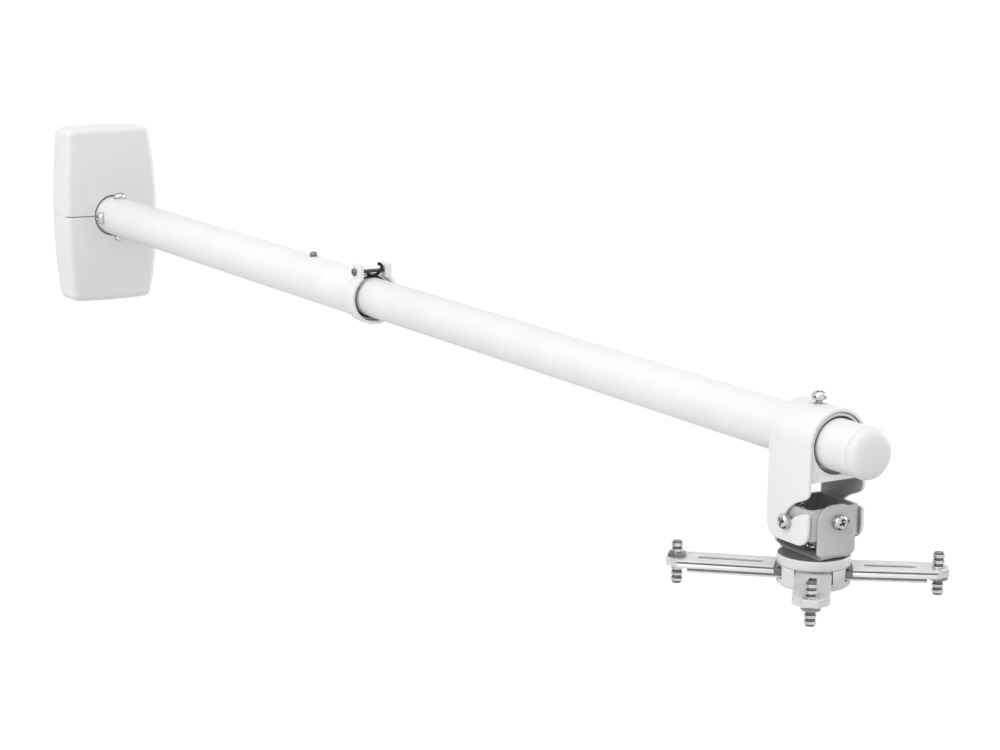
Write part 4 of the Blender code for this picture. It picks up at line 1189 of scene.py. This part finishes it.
@dataclass
class Arm:
    """One clamp arm: rail, sliding channel, ribbed post and flange nut."""

    name: str
    nut_above: bool
    rib: float = 0.0045
    groove: float = 0.0037
    pitch: float = 0.00465
    crest: float = 0.0026
    end_drop: float = 0.0002
    core_share: float = 0.3
    half_width: float = 0.014
    lip: float = 0.0014
    line_drop: float = 0.0019
    line_height: float = 0.0011
    line_depth: float = 0.0006
    level_margin: float = 0.00005
    side_margin: float = 0.0001

    @staticmethod
    def names() -> tuple[str, ...]:
        """Lists the four arms."""
        return ("right", "rear", "left", "front")

    def post(self) -> None:
        """Turns the post with its rounded ribs, with painted shade in its grooves."""
        node = "post_" + self.name
        centre, half = extent(node)
        count = int(2.0 * half.z / self.pitch)
        margin = half.z - ((count - 1) * self.pitch + self.crest) / 2.0
        end_radius = self.groove - self.end_drop
        section: list[Point2] = [(0.0, half.z), (end_radius, half.z)]
        for index in range(count):
            top = half.z - margin - index * self.pitch
            for share, bulge in RIB_ROUND:
                radius = self.groove + (self.rib - self.groove) * bulge
                section.append((radius, top - share * self.crest))
        section += [(end_radius, -half.z), (0.0, -half.z)]
        obj = turned(node + "_turned", section, MIDDLE_STEPS)
        settle(obj, Matrix.Translation(centre))
        dress(obj, BRIGHT_ZINC, "arm_channel_" + self.name, node)
        floor = 0.5 * (self.groove + self.rib)

        def between_ribs(place: Vector, normal: Vector) -> bool:
            """Tells the grooves' faces, which get painted shade."""
            return floor * self.core_share < (place - centre).xy.length < floor

        # Painted shade in the grooves between the ribs
        line(obj, DARK_ZINC_AND_PAINTED_SHADE, between_ribs)

    @cached_property
    def top(self) -> float:
        """Height of the channel's top face."""
        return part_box("arm_channel_" + self.name)[1].z

    @cached_property
    def course(self) -> tuple[Vector, Vector, float]:
        """Where the arm starts, which way it points and how far its post is."""
        pivot, _ = extent("arm_pivot_screw_" + self.name)
        post, _ = extent("post_" + self.name)
        along = post - pivot
        along.z = 0.0
        reach = along.length
        return pivot, along.normalized(), reach

    def side_lines(self, obj: Piece) -> None:
        """Cuts a thin line along each side of the channel, under its top face."""
        pivot, along, reach = self.course
        for side in (-1.0, 1.0):
            bpy.ops.mesh.primitive_cube_add(size=1.0)
            bar = named("side_line")
            bar.scale = (2.0 * reach, 2.0 * self.line_depth, self.line_height)
            middle = pivot + 0.5 * reach * along + side * self.half_width * along.cross(UP)
            middle.z = self.top - self.line_drop
            turn = Matrix.Rotation(math.atan2(along.y, along.x), 4, "Z")
            settle(bar, Matrix.Translation(middle) @ turn)
            combine(obj, bar)

    def in_side_line(self, centre: Vector, normal: Vector) -> bool:
        """Tells the faces of a side line, which get painted shade, from the channel's others."""
        pivot, along, _ = self.course
        across = abs((centre - pivot).dot(along.cross(UP)))
        drop = abs(centre.z - self.top + self.line_drop)
        inner = self.half_width - 2.0 * self.line_depth
        level = drop < 0.5 * self.line_height + self.level_margin
        return level and inner < across < self.half_width - self.side_margin

    def rail(self) -> None:
        """Dresses the rail, with painted shade above the lip of its channel, where the channel's shadow
        falls.
        """
        node = "arm_rail_" + self.name
        obj = softened(node, width=0.0003)
        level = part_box(node)[0].z + self.lip
        with edit_mode(obj):
            bpy.ops.mesh.bisect(plane_co=(0.0, 0.0, level), plane_no=(0.0, 0.0, 1.0))
        dress(obj, SATIN_ZINC, node, node)
        # Painted shade on the rail above the lip, under the channel
        line(obj, DARK_ZINC_AND_PAINTED_SHADE, lambda centre, normal: centre.z > level)

    def channel(self) -> None:
        """Dresses the channel, with a thin line cut along each side and painted shade in it."""
        node = "arm_channel_" + self.name
        obj = softened(node, width=0.0005, segments=3)
        self.side_lines(obj)
        dress(obj, SATIN_ZINC, node, node)
        # Painted shade in the side lines
        line(obj, DARK_ZINC_AND_PAINTED_SHADE, self.in_side_line)

    def build(self) -> None:
        """Builds the arm's pieces."""
        self.rail()
        self.channel()
        self.post()
        HexNut(
            "post_nut_" + self.name, "arm_channel_" + self.name, UP if self.nut_above else -UP,
            bore=0.0046, flats=0.013, turn=0.35, flange=0.0076, finish=DARK_ZINC_AND_PAINTED_SHADE,
        ).build()


# Studio


@dataclass(frozen=True)
class Lamp:
    """A soft distant lamp: its direction, a white face's brightness and its width."""

    name: str
    towards: Point3
    share: float
    degrees: float

    def build(self) -> None:
        """Hangs the lamp."""
        data = bpy.data.lights.new(self.name, "SUN")
        data.energy = self.share * math.pi
        data.angle = math.radians(self.degrees)
        obj = linked(self.name, data)
        obj.matrix_world = facing(Vector((0.0, 0.0, 2.0)), Vector(self.towards).normalized())


@dataclass(frozen=True)
class Card:
    """A black card that only shiny surfaces see: its middle, direction and side."""

    name: str
    place: Point3
    towards: Point3
    size: float

    def build(self) -> None:
        """Hangs the card."""
        bpy.ops.mesh.primitive_plane_add(size=self.size)
        obj = named(self.name)
        settle(obj, facing(Vector(self.place), Vector(self.towards)))
        made = bpy.data.materials.new(self.name)
        made.use_nodes = True
        shader = made.node_tree.nodes["Principled BSDF"]
        feed(made.node_tree, shader, {"Base Color": (*grey(0.01), 1.0), "Roughness": 1.0})
        obj.data.materials.append(made)
        obj.visible_camera = False
        obj.visible_diffuse = False
        obj.visible_shadow = False
        obj.visible_transmission = False


LAMPS = (
    Lamp("key_lamp", (-0.80, -0.24, 0.60), share=0.52, degrees=40.0),
    Lamp("top_lamp", (0.1, -0.1, 1.0), share=0.20, degrees=60.0),
    Lamp("fill_lamp", (-0.1, -1.0, -0.45), share=0.13, degrees=70.0),
    Lamp("rim_lamp", (1.0, -0.1, 0.2), share=0.42, degrees=30.0),
)
CARDS = (
    Card("left_card", (-1.0, -1.2, 0.0), (1.0, -0.3, 0.0), size=0.7),
    Card("right_card", (0.9, -2.1, 0.0), (-1.0, 0.6, 0.0), size=0.6),
    Card("low_card", (0.0, -1.5, -0.5), (0.0, 0.0, 1.0), size=0.6),
)


@dataclass
class Studio:
    """Camera, lamps, floor and background."""

    camera_place: Point3 = (-1.1218, -2.9035, 0.4096)
    azimuth: float = 0.5363
    pitch: float = 0.2002
    roll: float = 0.0071
    focal_px: float = 2393.68
    image_width: float = 1000.0
    sensor_width: float = 36.0
    clip_end: float = 60.0
    ambient: float = 0.50
    floor_z: float = -0.55
    floor_size: float = 40.0
    floor_grey: float = 0.72
    floor_glow: float = 1.06
    glow_share: float = 0.9

    def camera(self) -> None:
        """Sets the camera that the photograph was taken with."""
        data = bpy.data.cameras.new("camera")
        data.sensor_width = self.sensor_width
        data.lens = self.focal_px / self.image_width * self.sensor_width
        data.clip_end = self.clip_end
        forward = Vector((
            math.sin(self.azimuth) * math.cos(self.pitch), math.cos(self.azimuth) * math.cos(self.pitch),
            -math.sin(self.pitch),
        ))
        right = Vector((math.cos(self.azimuth), -math.sin(self.azimuth), 0.0))
        down = forward.cross(right)
        across = math.cos(self.roll) * right - math.sin(self.roll) * down
        below = math.sin(self.roll) * right + math.cos(self.roll) * down
        obj = linked("camera", data)
        turn = Matrix((across, -below, -forward)).transposed().to_4x4()
        obj.matrix_world = Matrix.Translation(self.camera_place) @ turn
        bpy.context.scene.camera = obj

    @staticmethod
    def seen_white(tree: Tree) -> Socket:
        """Makes the mask of rays that see the white background."""
        rays = add_node(tree, "LightPath").outputs
        seen = compute(tree, "MAXIMUM", rays["Is Camera Ray"], rays["Is Glossy Ray"])
        return compute(tree, "MAXIMUM", seen, rays["Is Transmission Ray"])

    @staticmethod
    def show(tree: Tree, output: str, mask: Socket, shaders: tuple[Node, Node]) -> None:
        """Shows the first shader where the mask is 0 and the second where it is 1."""
        first, second = (shader.outputs[0] for shader in shaders)
        mix = add_node(tree, "MixShader", {"Fac": mask, 1: first, 2: second})
        add_node(tree, output, {"Surface": mix.outputs[0]})

    def world(self) -> None:
        """Lights the scene from all round and shows white behind it."""
        world = bpy.data.worlds.new("studio")
        bpy.context.scene.world = world
        world.use_nodes = True
        tree = world.node_tree
        tree.nodes.clear()
        soft = add_node(tree, "Background", {"Color": WHITE, "Strength": self.ambient})
        white = add_node(tree, "Background", {"Color": WHITE})
        self.show(tree, "OutputWorld", self.seen_white(tree), (soft, white))

    def floor(self) -> None:
        """Lays a plain pale floor well under the mount."""
        bpy.ops.mesh.primitive_plane_add(size=self.floor_size, location=(0.0, 0.0, self.floor_z))
        obj = named("floor")
        made = bpy.data.materials.new("pale_floor")
        made.use_nodes = True
        tree = made.node_tree
        tree.nodes.clear()
        matt = add_node(tree, "BsdfDiffuse", {"Color": (*grey(self.floor_grey), 1.0)})
        white = add_node(tree, "Emission", {"Color": WHITE, "Strength": self.floor_glow})
        share = compute(tree, "MULTIPLY", self.seen_white(tree), self.glow_share)
        self.show(tree, "OutputMaterial", share, (matt, white))
        obj.data.materials.append(made)

    def build(self) -> None:
        """Sets the picture up."""
        bpy.context.scene.view_settings.view_transform = "Standard"
        self.camera()
        self.world()
        for lamp in LAMPS:
            lamp.build()
        self.floor()
        for card in CARDS:
            card.build()


def main() -> None:
    """Builds the dressed mount and reports its pieces."""
    Studio().build()
    WallCover().build()
    OuterTube().build()
    ClampCollar().build()
    SlidingTube().build()
    Saddle().build()
    TiltBlock().build()
    RollBracket().build()
    Hub().build()
    for name in Arm.names():
        Arm(name, nut_above=name in ("rear", "left")).build()


if __name__ == "__main__":
    logging.basicConfig(level=logging.INFO, format="%(name)s: %(message)s")
    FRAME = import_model()
    bpy.ops.object.select_all(action="DESELECT")
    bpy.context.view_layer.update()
    main()
